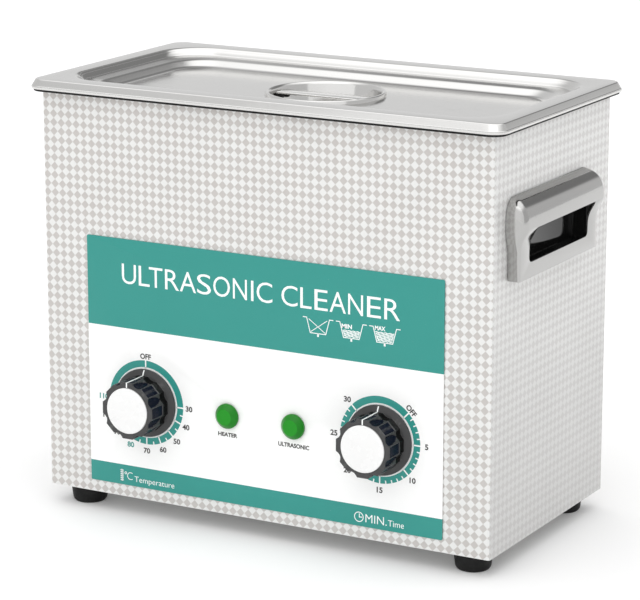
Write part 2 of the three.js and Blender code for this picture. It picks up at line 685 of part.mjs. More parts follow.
function makeElectronics() {
  const boardTop = board.z + board.thickness;
  const inset = board.postInset;
  const posts = [board.y0 + inset, board.y1 - inset].flatMap((y) => [
    [board.x0 + inset, y], [board.x1 - inset, y],
  ]);
  const plate = block(board.x0, board.x1, board.y0, board.y1, board.z, boardTop);
  const holes = posts.map(([x, y]) =>
    standing(disc(1.8, board.z - 1, boardTop + 1, 8)).translate(x, y, 0),
  );
  piece("generator_board", cutFrom(plate, holes), finishes.circuitBoard);

  const postBottom = casing.bottom + basePlate.sheet + gap;
  const postProfile = [
    [0, postBottom], [3, postBottom], [3, board.z - gap], [1.5, board.z - gap],
    [1.5, boardTop + 3], [0, boardTop + 3],
  ];
  posts.forEach(([x, y], i) => {
    const post = standing(lathe(postProfile, 8)).translate(x, y, 0);
    piece(`board_standoff_${i + 1}`, post, finishes.brass);
  });

  const bottom = boardTop + gap;
  const sink = block(heatSink.x0, heatSink.x1, heatSink.y0, heatSink.y1, bottom, bottom + heatSink.base);
  const fins = Array.from({ length: heatSink.fins }, (_, i) => {
    const x = heatSink.x0 + i * heatSink.finPitch;
    return block(
      x, x + heatSink.fin, heatSink.y0, heatSink.y1, bottom + heatSink.base - 1, bottom + heatSink.height,
    );
  });
  piece("heat_sink", surface(join(solid(sink), fins)), finishes.aluminium);

  const { x0, x1, y0, y1, height, coilRadius, coilOver } = transformer;
  const core = block(x0, x1, y0, y1, bottom, bottom + height);
  const windings = standing(disc(coilRadius, bottom + 2, bottom + height + coilOver, 32));
  windings.translate((x0 + x1) / 2, (y0 + y1) / 2, 0);
  piece("output_transformer", surface(join(solid(core), [windings])), finishes.ceramic);
}

// ---------------------------------------------------------------- rear fittings
function makeRearPlate() {
  const { left, right, bottom, top } = rearPlate;
  const y = [casing.halfY + gap, rearPlateFace];
  const through = [y[0] - 1, y[1] + 1];
  const plate = block(left, right, ...y, bottom, top);
  const { clearance } = rearPlate;
  const holeAround = ({ x, z, halfX, halfZ }, grow) =>
    block(x - halfX - grow, x + halfX + grow, ...through, z - halfZ - grow, z + halfZ + grow);
  const holes = [
    holeAround(inlet, inlet.wall + clearance),
    holeAround(mainSwitch, mainSwitch.wall + clearance),
    alongY(fuse.x, fuse.z, fuse.radius + clearance, ...through),
  ];
  piece("rear_plate", cutFrom(plate, holes), finishes.plainSteel);
}

function makePowerInlet() {
  const face = fittingFace;
  const { x, z, halfX, halfZ, wall, flangeHalfX, flangeHalfZ, screwX } = inlet;
  const around = (reachX, reachZ, y0, y1) => block(x - reachX, x + reachX, y0, y1, z - reachZ, z + reachZ);
  const front = face + inlet.flange;
  const flange = around(flangeHalfX, flangeHalfZ, face, front);
  const body = around(halfX + wall, halfZ + wall, face - inlet.bodyDepth, face + 1);
  const socket = around(halfX, halfZ, front - inlet.depth, front + 2);
  const screwHoles = [-screwX, screwX].map((dx) =>
    alongY(x + dx, z, inlet.screwHole, face - 1, front + 1, 10),
  );
  const shape = surface(cut(join(solid(flange), [body]), [socket, ...screwHoles]));
  piece("power_inlet", shape, finishes.blackPlastic);
}

function makeFuseHolder() {
  const face = fittingFace;
  const { radius, flange, bezel, cap, depth } = fuse;
  const profile = [
    [0, face - depth], [radius, face - depth], [radius, face], [flange, face], [flange, face + bezel],
    [radius, face + bezel], [radius - 0.4, face + cap], [0, face + cap],
  ];
  const slot = block(-5, 5, face + cap - 1, face + cap + 1, -0.8, 0.8);
  const shape = cutFrom(lathe(profile, 20), [slot]);
  piece("fuse_holder", shape.translate(fuse.x, 0, fuse.z), finishes.blackPlastic);
}

function makeSwitch() {
  const face = fittingFace;
  const { x, z, halfX, halfZ, tilt, wall, bezelWidth } = mainSwitch;
  const around = (grow, y0, y1) =>
    block(x - halfX - grow, x + halfX + grow, y0, y1, z - halfZ - grow, z + halfZ + grow);
  const bezel = around(bezelWidth, face, face + mainSwitch.bezel);
  const body = around(wall, face - mainSwitch.depth, face + 1);
  const well = around(wall / 2, face - 9, face + 4);
  const frame = surface(cut(join(solid(bezel), [body]), [well]));
  piece("switch_frame", frame, finishes.blackPlastic);

  const outline = new THREE.Shape();
  const reach = halfZ - 0.7;
  outline.moveTo(-reach, -2);
  outline.lineTo(reach, -2);
  outline.lineTo(reach, 3.4);
  outline.lineTo(0, 2.4);
  outline.lineTo(-reach, 3.4);
  const rocker = new THREE.ExtrudeGeometry(outline, { depth: 2 * halfX, bevelEnabled: false });
  // The outline's X becomes Z, its Y points to the rear, and its depth runs along X.
  const turn = new THREE.Matrix4().makeBasis(
    new THREE.Vector3(0, 0, 1), new THREE.Vector3(0, 1, 0), new THREE.Vector3(-1, 0, 0),
  );
  rocker.applyMatrix4(turn).translate(halfX, 0, 0);
  rocker.rotateX(THREE.MathUtils.degToRad(-tilt)).translate(x, face, z);
  piece("switch_rocker", mergeVertices(rocker), finishes.redPlastic);
}

function makeDrain() {
  const top = basin.floor - basin.wall - gap;
  const { x, y, z, pipeRadius, boreRadius, reach } = drain;
  const pipeEnd = casing.halfY + 3;
  const collar = standing(disc(drain.collar, top - drain.collarHeight, top, 20)).translate(x, y, 0);
  const drop = standing(disc(pipeRadius, z, top - 1, 16)).translate(x, y, 0);
  const elbow = facingOut(new THREE.SphereGeometry(pipeRadius, 16, 8)).translate(x, y, z);
  const run = alongY(x, z, pipeRadius, y, pipeEnd);
  const bores = [
    standing(disc(boreRadius, z, top + 1, 12)).translate(x, y, 0),
    alongY(x, z, boreRadius, y, pipeEnd + 1, 12),
    facingOut(new THREE.SphereGeometry(boreRadius, 12, 6)).translate(x, y, z),
  ];
  const pipe = surface(cut(join(solid(collar), [drop, elbow, run]), bores));
  piece("drain_pipe", pipe, finishes.plainSteel);

  const front = pipeEnd + gap;
  const pivotY = front + valve.pivot;
  const body = lathe([
    [0, front], [valve.radius, front], [valve.radius, front + 7], [valve.waist, front + 8],
    [valve.waist, front + 20], [valve.radius, front + 21], [valve.radius, front + 27],
    [valve.spout, front + 27], [valve.spout, reach - 1], [valve.spout - 0.6, reach],
    [valve.bore, reach], [valve.bore, front + 24], [0, front + 24],
  ], 16);
  const boss = standing(disc(valve.boss, 6, valve.bossTop, 16)).translate(0, pivotY, 0);
  const cock = surface(join(solid(body), [boss]));
  piece("drain_valve", cock.translate(x, 0, z), finishes.brass);

  const bottom = z + valve.bossTop + gap;
  const { hub, hubHeight, length, halfWidth, thickness, nut, nutHeight } = lever;
  const round = (radius, height, segments, atX) =>
    standing(disc(radius, bottom, bottom + height, segments)).translate(atX, pivotY, 0);
  const arm = block(x - length, x, pivotY - halfWidth, pivotY + halfWidth, bottom, bottom + thickness);
  const others = [arm, round(halfWidth, thickness, 16, x - length), round(nut, nutHeight, 6, x)];
  const handle = surface(join(solid(round(hub, hubHeight, 16, x)), others));
  piece("drain_lever", handle, finishes.redPlastic);
}

// ---------------------------------------------------------------- assembly
makeCasing();
makeBasePlate();
makeFeet();
makeBasin();
makeGasket();
makeLid();
makeLidBar();
makePanel();
for (const [name, x] of Object.entries(controlX)) makeControl(name, x);
for (const [name, x] of Object.entries(lampX)) makeLamp(name, x);
makeThermostat();
makeTimer();
for (const hand of gripSides) {
  makeHandle(hand);
  makeFingerCup(hand);
}
transducer.x.forEach((x, i) => makeTransducer(i + 1, x));
makeHeaterPads();
makeElectronics();
makeRearPlate();
makePowerInlet();
makeFuseHolder();
makeSwitch();
makeDrain();

// The origin is the middle of the whole object's footprint, between the knobs and the drain's mouth.
cleaner.position.y = (frontReach - drain.reach) / 2;

export default cleaner;
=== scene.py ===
"""Benchtop ultrasonic cleaner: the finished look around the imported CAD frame.

Shapes are written in millimetres about the middle of the casing, with Z up from the floor and the front
towards -Y, and are brought into the row frame, in metres, as each piece is made.
"""

import math

import bmesh
import bpy
from mathutils import Matrix, Vector


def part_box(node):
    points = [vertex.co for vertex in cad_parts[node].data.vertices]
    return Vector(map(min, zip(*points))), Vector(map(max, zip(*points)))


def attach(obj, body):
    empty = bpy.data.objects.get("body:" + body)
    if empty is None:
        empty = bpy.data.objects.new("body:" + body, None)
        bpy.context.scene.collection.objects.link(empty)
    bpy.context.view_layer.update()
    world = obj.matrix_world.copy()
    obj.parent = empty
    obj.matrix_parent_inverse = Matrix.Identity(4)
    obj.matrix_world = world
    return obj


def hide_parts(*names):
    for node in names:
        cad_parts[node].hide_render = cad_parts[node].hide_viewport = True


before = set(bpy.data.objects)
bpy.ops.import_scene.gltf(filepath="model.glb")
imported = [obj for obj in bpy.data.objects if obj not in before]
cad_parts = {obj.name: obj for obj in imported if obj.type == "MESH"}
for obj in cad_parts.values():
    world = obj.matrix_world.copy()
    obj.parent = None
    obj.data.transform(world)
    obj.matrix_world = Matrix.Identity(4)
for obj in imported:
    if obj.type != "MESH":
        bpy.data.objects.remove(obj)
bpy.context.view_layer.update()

MM = 0.001
casing_low, casing_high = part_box("casing")
MIDDLE = Vector((0, (casing_low.y + casing_high.y) / 2, 0))
TO_ROW = Matrix.Translation(MIDDLE) @ Matrix.Scale(MM, 4)


def corners(node):
    """A CAD node's lowest and highest corner, in millimetres about the casing's middle."""
    low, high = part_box(node)
    return (low - MIDDLE) / MM, (high - MIDDLE) / MM


def centre(node):
    low, high = corners(node)
    return (low + high) / 2


# ------------------------------------------------------------------ measures
casing_bottom = corners("casing")[0].z
casing_top = corners("casing")[1].z
half_x = corners("casing")[1].x
half_y = corners("casing")[1].y
panel_face = corners("front_panel")[0].y
SHEET = 0.8  # the casing's steel
GAP = 0.3  # between pieces that touch
DRAIN_HEIGHT = 60.0
BASIN = (150, 76, 20)  # half length, half width and corner radius

# The white field's bottom and top. Heights on the front are above the casing's bottom edge.
BAND_LOW, BAND_WHITE = 21.1, 109.8


def height(above_edge):
    return casing_bottom + above_edge


# ------------------------------------------------------------------ shape helpers
def soften(points, reach, steps=3, closed=False):
    """Rounds a chain of points: each corner becomes a short curve that begins and ends reach away from it."""
    reaches = reach if isinstance(reach, (list, tuple)) else [reach] * len(points)
    points = [Vector(point) for point in points]
    rounded = []
    for i, corner in enumerate(points):
        if reaches[i] == 0 or (not closed and i in (0, len(points) - 1)):
            rounded.append(corner)
            continue
        ends = []
        for neighbour in (points[i - 1], points[(i + 1) % len(points)]):
            run = neighbour - corner
            share = min(reaches[i] / max(run.length, 1e-9), 0.45)
            ends.append(corner + run * share)
        for step in range(steps + 1):
            t = step / steps
            first = ends[0].lerp(corner, t)
            second = corner.lerp(ends[1], t)
            rounded.append(first.lerp(second, t))
    return rounded


def rounded_loop(reach_x, reach_y, radius, z, steps=12, along_x=1, along_y=1):
    """A rectangle with round corners, anticlockwise, with its straight sides divided as asked."""
    loop = []
    signs = ((1, 1), (-1, 1), (-1, -1), (1, -1))
    for corner, (side_x, side_y) in enumerate(signs):
        for step in range(steps + 1):
            angle = (corner + step / steps) * math.pi / 2
            x = side_x * (reach_x - radius) + radius * math.cos(angle)
            y = side_y * (reach_y - radius) + radius * math.sin(angle)
            loop.append(Vector((x, y, z)))
        parts = along_y if corner % 2 else along_x
        next_x, next_y = signs[(corner + 1) % 4]
        turn = (corner + 1) * math.pi / 2
        end = Vector((
            next_x * (reach_x - radius) + radius * math.cos(turn),
            next_y * (reach_y - radius) + radius * math.sin(turn),
            z,
        ))
        start = loop[-1]
        for part in range(1, parts):
            loop.append(start.lerp(end, part / parts))
    return loop


def loft(loops, ring=False):
    """Quads through loops of equal length, capped at both ends, or joined last to first."""
    form = bmesh.new()
    rows = [[form.verts.new(point) for point in loop] for loop in loops]
    pairs = list(zip(rows, rows[1:]))
    if ring:
        pairs.append((rows[-1], rows[0]))
    for near, far in pairs:
        for i in range(len(near)):
            j = (i + 1) % len(near)
            form.faces.new((near[i], near[j], far[j], far[i]))
    if not ring:
        form.faces.new(rows[0])
        form.faces.new(rows[-1])
    return form


AXES = {"X": (2, 0, 1), "Y": (0, 2, 1), "Z": (0, 1, 2)}


def along(axis, form):
    """Stands a form made about Z along another axis."""
    order = AXES[axis]
    for vertex in form.verts:
        vertex.co = [vertex.co[i] for i in order]
    return form


def move(form, x=0.0, y=0.0, z=0.0):
    bmesh.ops.translate(form, verts=form.verts, vec=(x, y, z))
    return form


def spin(form, angle, axis):
    turn = Matrix.Rotation(math.radians(angle), 3, axis)
    bmesh.ops.rotate(form, verts=form.verts, cent=(0, 0, 0), matrix=turn)
    return form


def lathe(profile, axis="Z", segments=96, closed=False):
    """A turned form from [radius, height] points. A profile starts and ends on the axis, or is closed."""
    form = bmesh.new()
    rows = []
    for radius, level in profile:
        if radius < 1e-6:
            rows.append([form.verts.new((0, 0, level))])
            continue
        turns = (2 * math.pi * i / segments for i in range(segments))
        rows.append([form.verts.new((radius * math.cos(t), radius * math.sin(t), level)) for t in turns])
    pairs = list(zip(rows, rows[1:]))
    if closed:
        pairs.append((rows[-1], rows[0]))
    for near, far in pairs:
        for i in range(segments):
            j = (i + 1) % segments
            face = [near[i % len(near)], near[j % len(near)], far[j % len(far)], far[i % len(far)]]
            form.faces.new(dict.fromkeys(face))
    return along(axis, form)


def rod(radius, start, end, axis="Y", segments=48):
    return lathe([(0, start), (radius, start), (radius, end), (0, end)], axis, segments)


def prism(outline, start, end, axis="Z"):
    """A straight bar along an axis, with an outline of [across, up] points."""
    order = AXES[axis]
    return loft([[Vector([(u, w, level)[i] for i in order]) for u, w in outline] for level in (start, end)])


def block(x0, x1, y0, y1, z0, z1, radius=0.0, axis="Z", steps=6):
    """A block, with the four edges along its axis rounded."""
    size = Vector((abs(x1 - x0), abs(y1 - y0), abs(z1 - z0))) / 2
    middle = Vector((x0 + x1, y0 + y1, z0 + z1)) / 2
    u, v, w = {
        "X": (size.y, size.z, size.x), "Y": (size.x, size.z, size.y), "Z": (size.x, size.y, size.z),
    }[axis]
    if radius:
        form = loft([rounded_loop(u, v, radius, level, steps) for level in (-w, w)])
    else:
        form = prism(((-u, -v), (u, -v), (u, v), (-u, v)), -w, w)
    return move(along(axis, form), *middle)


def joined(*forms):
    """Several forms in one mesh."""
    whole = bmesh.new()
    for form in forms:
        part = bpy.data.meshes.new("part")
        form.to_mesh(part)
        form.free()
        whole.from_mesh(part)
        bpy.data.meshes.remove(part)
    return whole


def applied(thing):
    """Replaces an object's mesh by what its modifiers make of it."""
    graph = bpy.context.evaluated_depsgraph_get()
    made = bpy.data.meshes.new_from_object(thing.evaluated_get(graph))
    thing.modifiers.clear()
    old = thing.data
    thing.data = made
    bpy.data.meshes.remove(old)


def placed(name, data):
    """A new object in the scene, made of a mesh, a curve, a light or a camera."""
    thing = bpy.data.objects.new(name, data)
    bpy.context.scene.collection.objects.link(thing)
    return thing


def bare_object(name, form):
    bmesh.ops.recalc_face_normals(form, faces=form.faces)
    mesh = bpy.data.meshes.new(name)
    form.to_mesh(mesh)
    form.free()
    return placed(name, mesh)


def cut_form(form, tool):
    """One form with another taken away from it."""
    body, cutter = bare_object("body", form), bare_object("tool", tool)
    cut = body.modifiers.new("cut", "BOOLEAN")
    cut.operation = "DIFFERENCE"
    cut.solver = "EXACT"
    cut.object = cutter
    applied(body)
    result = bmesh.new()
    result.from_mesh(body.data)
    for thing in (body, cutter):
        mesh = thing.data
        bpy.data.objects.remove(thing)
        bpy.data.meshes.remove(mesh)
    return result


def make(name, form, finish, body="housing", replaces=(), cutters=(), edge=0.0, crease=32):
    """Makes a finished piece of a form: cut, its edges rounded, shaded smooth, on its body."""
    if cutters:
        form = cut_form(form, joined(*cutters))
    thing = bare_object(name, form)
    if edge:
        bevel = thing.modifiers.new("edges", "BEVEL")
        bevel.width = edge
        bevel.segments = 2
        bevel.limit_method = "ANGLE"
        bevel.angle_limit = math.radians(35)
        bevel.use_clamp_overlap = True
        applied(thing)
    mesh = thing.data
    mesh.transform(TO_ROW)
    mesh.shade_smooth()
    mesh.set_sharp_from_angle(angle=math.radians(crease))
    mesh.materials.clear()
    for material in finish if isinstance(finish, (list, tuple)) else [finish]:
        mesh.materials.append(material)
    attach(thing, body)
    if replaces:
        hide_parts(*([replaces] if isinstance(replaces, str) else replaces))
    return thing


def faces_about(thing, spot):
    """Each face of a piece, with its place and its distance from a line through spot along Y."""
    for face in thing.data.polygons:
        where = (Vector(face.center) - MIDDLE) / MM
        yield face, where, math.hypot(where.x - spot.x, where.z - spot.z)


def front_holes(face, segments):
    """Cutters through a wall at face, where the controls and the lamps pass."""
    spots = [centre(name) for name in ("temperature_knob", "timer_knob", "heater_lamp", "ultrasonic_lamp")]
    return [move(rod(5.5, -2, 2, segments=segments), spot.x, face, spot.z) for spot in spots]


# ------------------------------------------------------------------ finishes
class Tree:
    """A node tree that is put together a step at a time."""

    def __init__(self, tree):
        self.tree = tree

    def node(self, kind, inputs=(), **settings):
        made = self.tree.nodes.new("ShaderNode" + kind)
        for key, value in settings.items():
            setattr(made, key, value)
        for key, value in dict(inputs).items():
            self.put(made.inputs[key], value)
        return made

    def put(self, socket, value):
        if isinstance(value, bpy.types.NodeSocket):
            self.tree.links.new(value, socket)
        else:
            socket.default_value = value

    def math(self, operation, a, b=0.0):
        return self.node("Math", {0: a, 1: b}, operation=operation).outputs[0]

    def axes(self, vector):
        return self.node("SeparateXYZ", {0: vector}).outputs

    def ramp(self, value, low, high, to_low=0.0, to_high=1.0):
        """Goes smoothly from to_low to to_high as value goes from low to high."""
        made = self.node("MapRange", {
            "Value": value, "From Min": low, "From Max": high, "To Min": to_low, "To Max": to_high,
        }, interpolation_type="SMOOTHSTEP")
        return made.outputs["Result"]

    def mix(self, share, a, b):
        return self.node("Mix", {0: share, 6: a, 7: b}, data_type="RGBA").outputs[2]


class Finish(Tree):
    """A surface finish. Its patterns are measured on the piece itself."""

    def __init__(self, name, **settings):
        self.material = bpy.data.materials.new(name)
        self.material.use_nodes = True
        super().__init__(self.material.node_tree)
        self.shader = self.tree.nodes["Principled BSDF"]
        for socket, value in settings.items():
            self.shader.inputs[socket.replace("_", " ")].default_value = value
        where = self.tree.nodes.new("ShaderNodeTexCoord")
        self.place = where.outputs["Object"]
        self.facing = where.outputs["Normal"]
        self.normal = None

    def set(self, socket, value):
        self.put(self.shader.inputs[socket], value)

    def colour(self, share, a, b):
        """Goes from one colour to another as share goes from 0 to 1."""
        self.set("Base Color", self.mix(share, a, b))

    def noise(self, size, detail=2.0, rough=0.5, shift=0.0):
        """Noise from 0 to 1, whose features are size millimetres long, or (x, y, z) millimetres."""
        sizes = size if isinstance(size, (list, tuple)) else (size,) * 3
        scaled = self.node("Mapping", {
            "Vector": self.place, "Location": (shift, shift, shift),
            "Scale": tuple(1 / (MM * s) for s in sizes),
        })
        made = self.node("TexNoise", {
            "Vector": scaled.outputs[0], "Scale": 1.0, "Detail": detail, "Roughness": rough,
        })
        return made.outputs["Fac"]

    def cells(self, size):
        """A value for each crystal-like cell, size millimetres across."""
        made = self.node("TexVoronoi", {"Vector": self.place, "Scale": 1 / (MM * size)})
        return self.axes(made.outputs["Color"])[0]

    def bump(self, value, depth, strength=1.0):
        """Adds relief, depth millimetres deep."""
        inputs = {"Height": value, "Distance": depth * MM, "Strength": strength}
        if self.normal:
            inputs["Normal"] = self.normal
        self.normal = self.node("Bump", inputs).outputs[0]
        self.set("Normal", self.normal)

    def worn_edges(self):
        return self.ramp(self.node("NewGeometry").outputs["Pointiness"], 0.52, 0.6)


def grey(value):
    return (value, value, value, 1.0)


def patterned_steel():
    """Stainless sheet rolled with a chequer of small diamonds, bright and matt by turns."""
    f = Finish("patterned_steel", Metallic=0.3, IOR=1.5)
    period = 5.52 * MM
    offset = 4.71 * MM
    x, y, z = f.axes(f.place)
    sideways = f.math("ABSOLUTE", f.axes(f.facing)[0])
    on_side = f.math("GREATER_THAN", sideways, 0.72)
    on_front = f.math("SUBTRACT", 1.0, on_side)
    across = f.math("ADD", f.math("MULTIPLY", f.math("SUBTRACT", x, offset), on_front),
                    f.math("MULTIPLY", f.math("SUBTRACT", y, MIDDLE.y + offset), on_side))
    turns = 2 * math.pi / period
    first = f.math("COSINE", f.math("MULTIPLY", across, turns))
    second = f.math("COSINE", f.math("MULTIPLY", f.math("SUBTRACT", z, casing_bottom * MM), turns))
    wobble = f.math("MULTIPLY", f.math("SUBTRACT", f.noise(2.2, 3), 0.5), 0.25)
    mask = f.ramp(f.math("ADD", f.math("ADD", first, second), wobble), -0.3, 0.3)
    mottle = f.noise(34, 4, 0.6)
    bright = f.mix(mottle, (0.745, 0.745, 0.735, 1), (0.80, 0.80, 0.79, 1))
    matt = f.mix(mottle, (0.515, 0.49, 0.47, 1), (0.57, 0.545, 0.525, 1))
    # On the ends the matt diamonds are painted paler than on the front: painted sheen that softens the
    # pattern there.
    side_matt_painted_sheen = f.mix(mottle, (0.60, 0.59, 0.58, 1), (0.655, 0.645, 0.635, 1))
    colour = f.mix(mask, f.mix(on_side, matt, side_matt_painted_sheen), bright)
    grain = f.noise((0.5, 0.5, 9), 3, 0.6)
    colour = f.mix(f.ramp(grain, 0.3, 0.75, 0.0, 0.06), colour, (0.45, 0.44, 0.43, 1))
    # The ends of the casing are painted darker towards the foot: painted shade, not a change in the steel.
    painted_shade_low = f.math("MULTIPLY", on_side, f.ramp(z, 0.02, 0.26, 0.36, 0.0))
    f.colour(painted_shade_low, colour, (0.40, 0.395, 0.39, 1))
    smudge = f.ramp(f.noise(18, 5, 0.6), 0.3, 0.8, -0.04, 0.07)
    f.set("Roughness", f.math("ADD", f.ramp(mask, 0, 1, 0.36, 0.46), smudge))
    f.bump(mask, 0.04, 0.5)
    f.bump(grain, 0.012, 0.3)
    return f.material


def brushed_steel(name, stroke, tone=0.72, rough=0.12, smear=0.05):
    """Stainless steel polished over a fine grain. stroke is the grain's length along X, Y and Z."""
    f = Finish(name, Metallic=1.0, IOR=2.2)
    grain = f.noise(stroke, 4, 0.65)
    patches = f.noise(70, 3, 0.55, shift=3.0)
    tint = f.mix(patches, (tone, tone * 0.99, tone * 0.972, 1), (tone * 1.06, tone * 1.055, tone * 1.04, 1))
    f.colour(f.ramp(grain, 0.35, 0.8, 0.0, 0.10), tint, grey(tone * 0.78))
    handled = f.ramp(f.noise((26, 38, 30), 5, 0.7, shift=7.0), 0.54, 0.74, 0.0, smear)
    scratch = f.noise(tuple(4.0 if s > 1 else 0.9 for s in stroke), 6, 0.75, shift=11.0)
    level = f.math("ADD", f.ramp(grain, 0.25, 0.8, rough - 0.02, rough + 0.04), handled)
    f.set("Roughness", f.math("ADD", level, f.ramp(scratch, 0.66, 0.72, 0.0, 0.05)))
    f.bump(grain, 0.002, 0.35)
    return f.material


def zinc_steel():
    """Plain zinc-plated steel with a faint crystal bloom."""
    f = Finish("plain_steel", Metallic=1.0)
    bloom = f.cells(7)
    f.colour(f.noise(20, 4), f.mix(bloom, grey(0.40), grey(0.50)), (0.43, 0.43, 0.40, 1))
    smudge = f.ramp(f.noise(5, 4), 0.4, 0.8, 0, 0.1)
    f.set("Roughness", f.math("ADD", f.ramp(bloom, 0, 1, 0.36, 0.48), smudge))
    f.bump(f.noise(0.9, 4), 0.02, 0.3)
    return f.material


def rubber():
    """Moulded black rubber, matt, with a dusty bloom and a sandy skin."""
    f = Finish("rubber", Specular_IOR_Level=0.25)
    dust = f.ramp(f.noise(9, 5, 0.65), 0.45, 0.8)
    f.colour(dust, (0.006, 0.006, 0.006, 1), (0.018, 0.017, 0.016, 1))
    f.set("Roughness", f.ramp(f.noise(3.5, 4), 0.3, 0.75, 0.48, 0.72))
    f.bump(f.noise(0.35, 3), 0.03, 0.4)
    return f.material


def film(name, colour, dirt=(0.6, 0.6, 0.58, 1)):
    """Screen-printed polyester film with a fine velvet texture."""
    f = Finish(name, Specular_IOR_Level=0.42)
    cloud = f.noise(45, 3, 0.5)
    deeper = tuple(c * 0.955 for c in colour[:3]) + (1.0,)
    base = f.mix(cloud, colour, deeper)
    specks = f.ramp(f.noise(0.8, 2), 0.74, 0.8, 0.0, 0.25)
    f.colour(specks, base, dirt)
    f.set("Roughness", f.ramp(f.noise(14, 5, 0.6), 0.3, 0.8, 0.36, 0.5))
    f.bump(f.noise(0.28, 2), 0.012, 0.35)
    return f.material


def ink(name, colour, thin):
    """Screen-print ink, a little uneven where the mesh laid it down thinly."""
    f = Finish(name, Specular_IOR_Level=0.4)
    cover = f.ramp(f.noise(0.55, 3, 0.6), 0.55, 0.85, 0.0, 0.35)
    f.colour(cover, colour, thin)
    f.set("Roughness", f.ramp(f.noise(2.5, 4), 0.3, 0.75, 0.4, 0.56))
    f.bump(f.noise(0.3, 2), 0.01, 0.3)
    return f.material


def moulded(name, colour, worn, rough=(0.38, 0.5), grain=0.35, depth=0.02, coat=0.0, specular=0.5,
            cloudy=0.5):
    """Injection-moulded plastic with a spark-eroded grain, rubbed a little paler along its edges."""
    f = Finish(name, Specular_IOR_Level=specular, Coat_Weight=coat, Coat_Roughness=0.12)
    cloud = f.noise(16, 4, 0.6)
    base = f.mix(f.ramp(cloud, 0.3, 0.8, 0.0, cloudy), colour, tuple(c * 0.8 for c in colour[:3]) + (1.0,))
    rubbed = f.math("MULTIPLY", f.worn_edges(), f.ramp(f.noise(1.6, 3), 0.35, 0.6, 0.25, 0.9))
    f.colour(rubbed, base, worn)
    f.set("Roughness", f.ramp(f.noise(6, 4), 0.3, 0.75, rough[0], rough[1]))
    f.bump(f.noise(grain, 2), depth, 0.35)
    return f.material


def green_lens(name, colour, deeper):
    """Tinted moulded lens, glossy, with the faint flow marks of its mould."""
    f = Finish(name, Specular_IOR_Level=0.25, Coat_Weight=0.1, Coat_Roughness=0.15)
    f.colour(f.noise(5, 3), deeper, colour)
    f.set("Roughness", f.ramp(f.noise(2.5, 3), 0.3, 0.8, 0.3, 0.38))
    f.bump(f.noise(0.7, 2), 0.004, 0.2)
    return f.material


def turned_metal(name, colour, darker, rough=0.32):
    """Machined metal with fine turning marks and a little tarnish."""
    f = Finish(name, Metallic=1.0)
    marks = f.noise((0.25, 0.25, 0.25), 3, 0.6)
    tarnish = f.ramp(f.noise(7, 5, 0.65), 0.45, 0.8)
    f.colour(tarnish, colour, darker)
    f.set("Roughness", f.math("ADD", f.ramp(marks, 0.3, 0.7, rough - 0.06, rough + 0.08),
                              f.math("MULTIPLY", tarnish, 0.12)))
    f.bump(marks, 0.01, 0.4)
    return f.material


def mineral(name, colour, other, size=1.2, rough=0.6):
    """A dense matt body such as ceramic or silicone, speckled and slightly pitted."""
    f = Finish(name)
    f.colour(f.ramp(f.noise(size, 4), 0.4, 0.7), colour, other)
    f.set("Roughness", f.ramp(f.noise(size * 3, 4), 0.3, 0.8, rough - 0.08, rough + 0.1))
    f.bump(f.noise(size * 0.5, 3), 0.04, 0.4)
    return f.material


def circuit_board():
    """Solder mask over copper tracks laid out on a grid."""
    f = Finish("circuit_board", Specular_IOR_Level=0.55)
    x, y = f.axes(f.place)[:2]
    lines = f.math("SINE", f.math("MULTIPLY", x, 2 * math.pi / (5.08 * MM)))
    rows = f.math("SINE", f.math("MULTIPLY", y, 2 * math.pi / (7.62 * MM)))
    patch = f.ramp(f.noise(14, 1), 0.48, 0.52)
    tracks = f.mix(patch, f.ramp(lines, 0.55, 0.65), f.ramp(rows, 0.55, 0.65))
    f.colour(tracks, (0.010, 0.085, 0.030, 1), (0.030, 0.160, 0.060, 1))
    f.set("Roughness", f.ramp(f.noise(6, 3), 0.3, 0.8, 0.3, 0.42))
    f.bump(tracks, 0.04, 0.6)
    return f.material


steel_lid = brushed_steel("polished_steel", (38, 0.35, 0.35), tone=0.62)
# The pull strip gets a brighter copy of the lid's polished steel: painted light.
steel_bar_painted_bright = brushed_steel("polished_steel_bar_painted_light", (38, 0.35, 0.35), tone=0.86, rough=0.16)
# The handles get a darker copy of the lid's polished steel: painted shade.
steel_handle_painted_shade = brushed_steel("polished_steel_handle_painted_shade", (0.35, 30, 0.35), tone=0.46, rough=0.13, smear=0.03)
steel_tank = brushed_steel("drawn_steel", (26, 26, 2.6), tone=0.68, rough=0.2)
steel_plain = zinc_steel()
steel_pattern = patterned_steel()
black_rubber = rubber()
TEAL = (0.026, 0.285, 0.248, 1.0)
film_teal = film("film_teal", TEAL)
film_white = film("film_white", (0.97, 0.97, 0.965, 1), dirt=(0.82, 0.82, 0.81, 1))
ink_white = ink("ink_white", (0.92, 0.94, 0.93, 1), (0.74, 0.82, 0.80, 1))
ink_dark = ink("ink_dark", (0.035, 0.033, 0.032, 1), (0.09, 0.088, 0.085, 1))
ink_teal = ink("ink_teal", TEAL, (0.10, 0.42, 0.36, 1))
knob_grey = moulded("knob_plastic", (0.052, 0.052, 0.053, 1), (0.09, 0.09, 0.09, 1), rough=(0.3, 0.4),
                    depth=0.008, specular=0.3)
# A darker, bluish copy of the knob plastic for the pressed pockets: painted shade.
knob_pocket_painted_shade = moulded("knob_pocket_painted_shade", (0.0045, 0.0065, 0.017, 1), (0.05, 0.05, 0.055, 1), rough=(0.2, 0.3),
                     depth=0.003, specular=0.06)
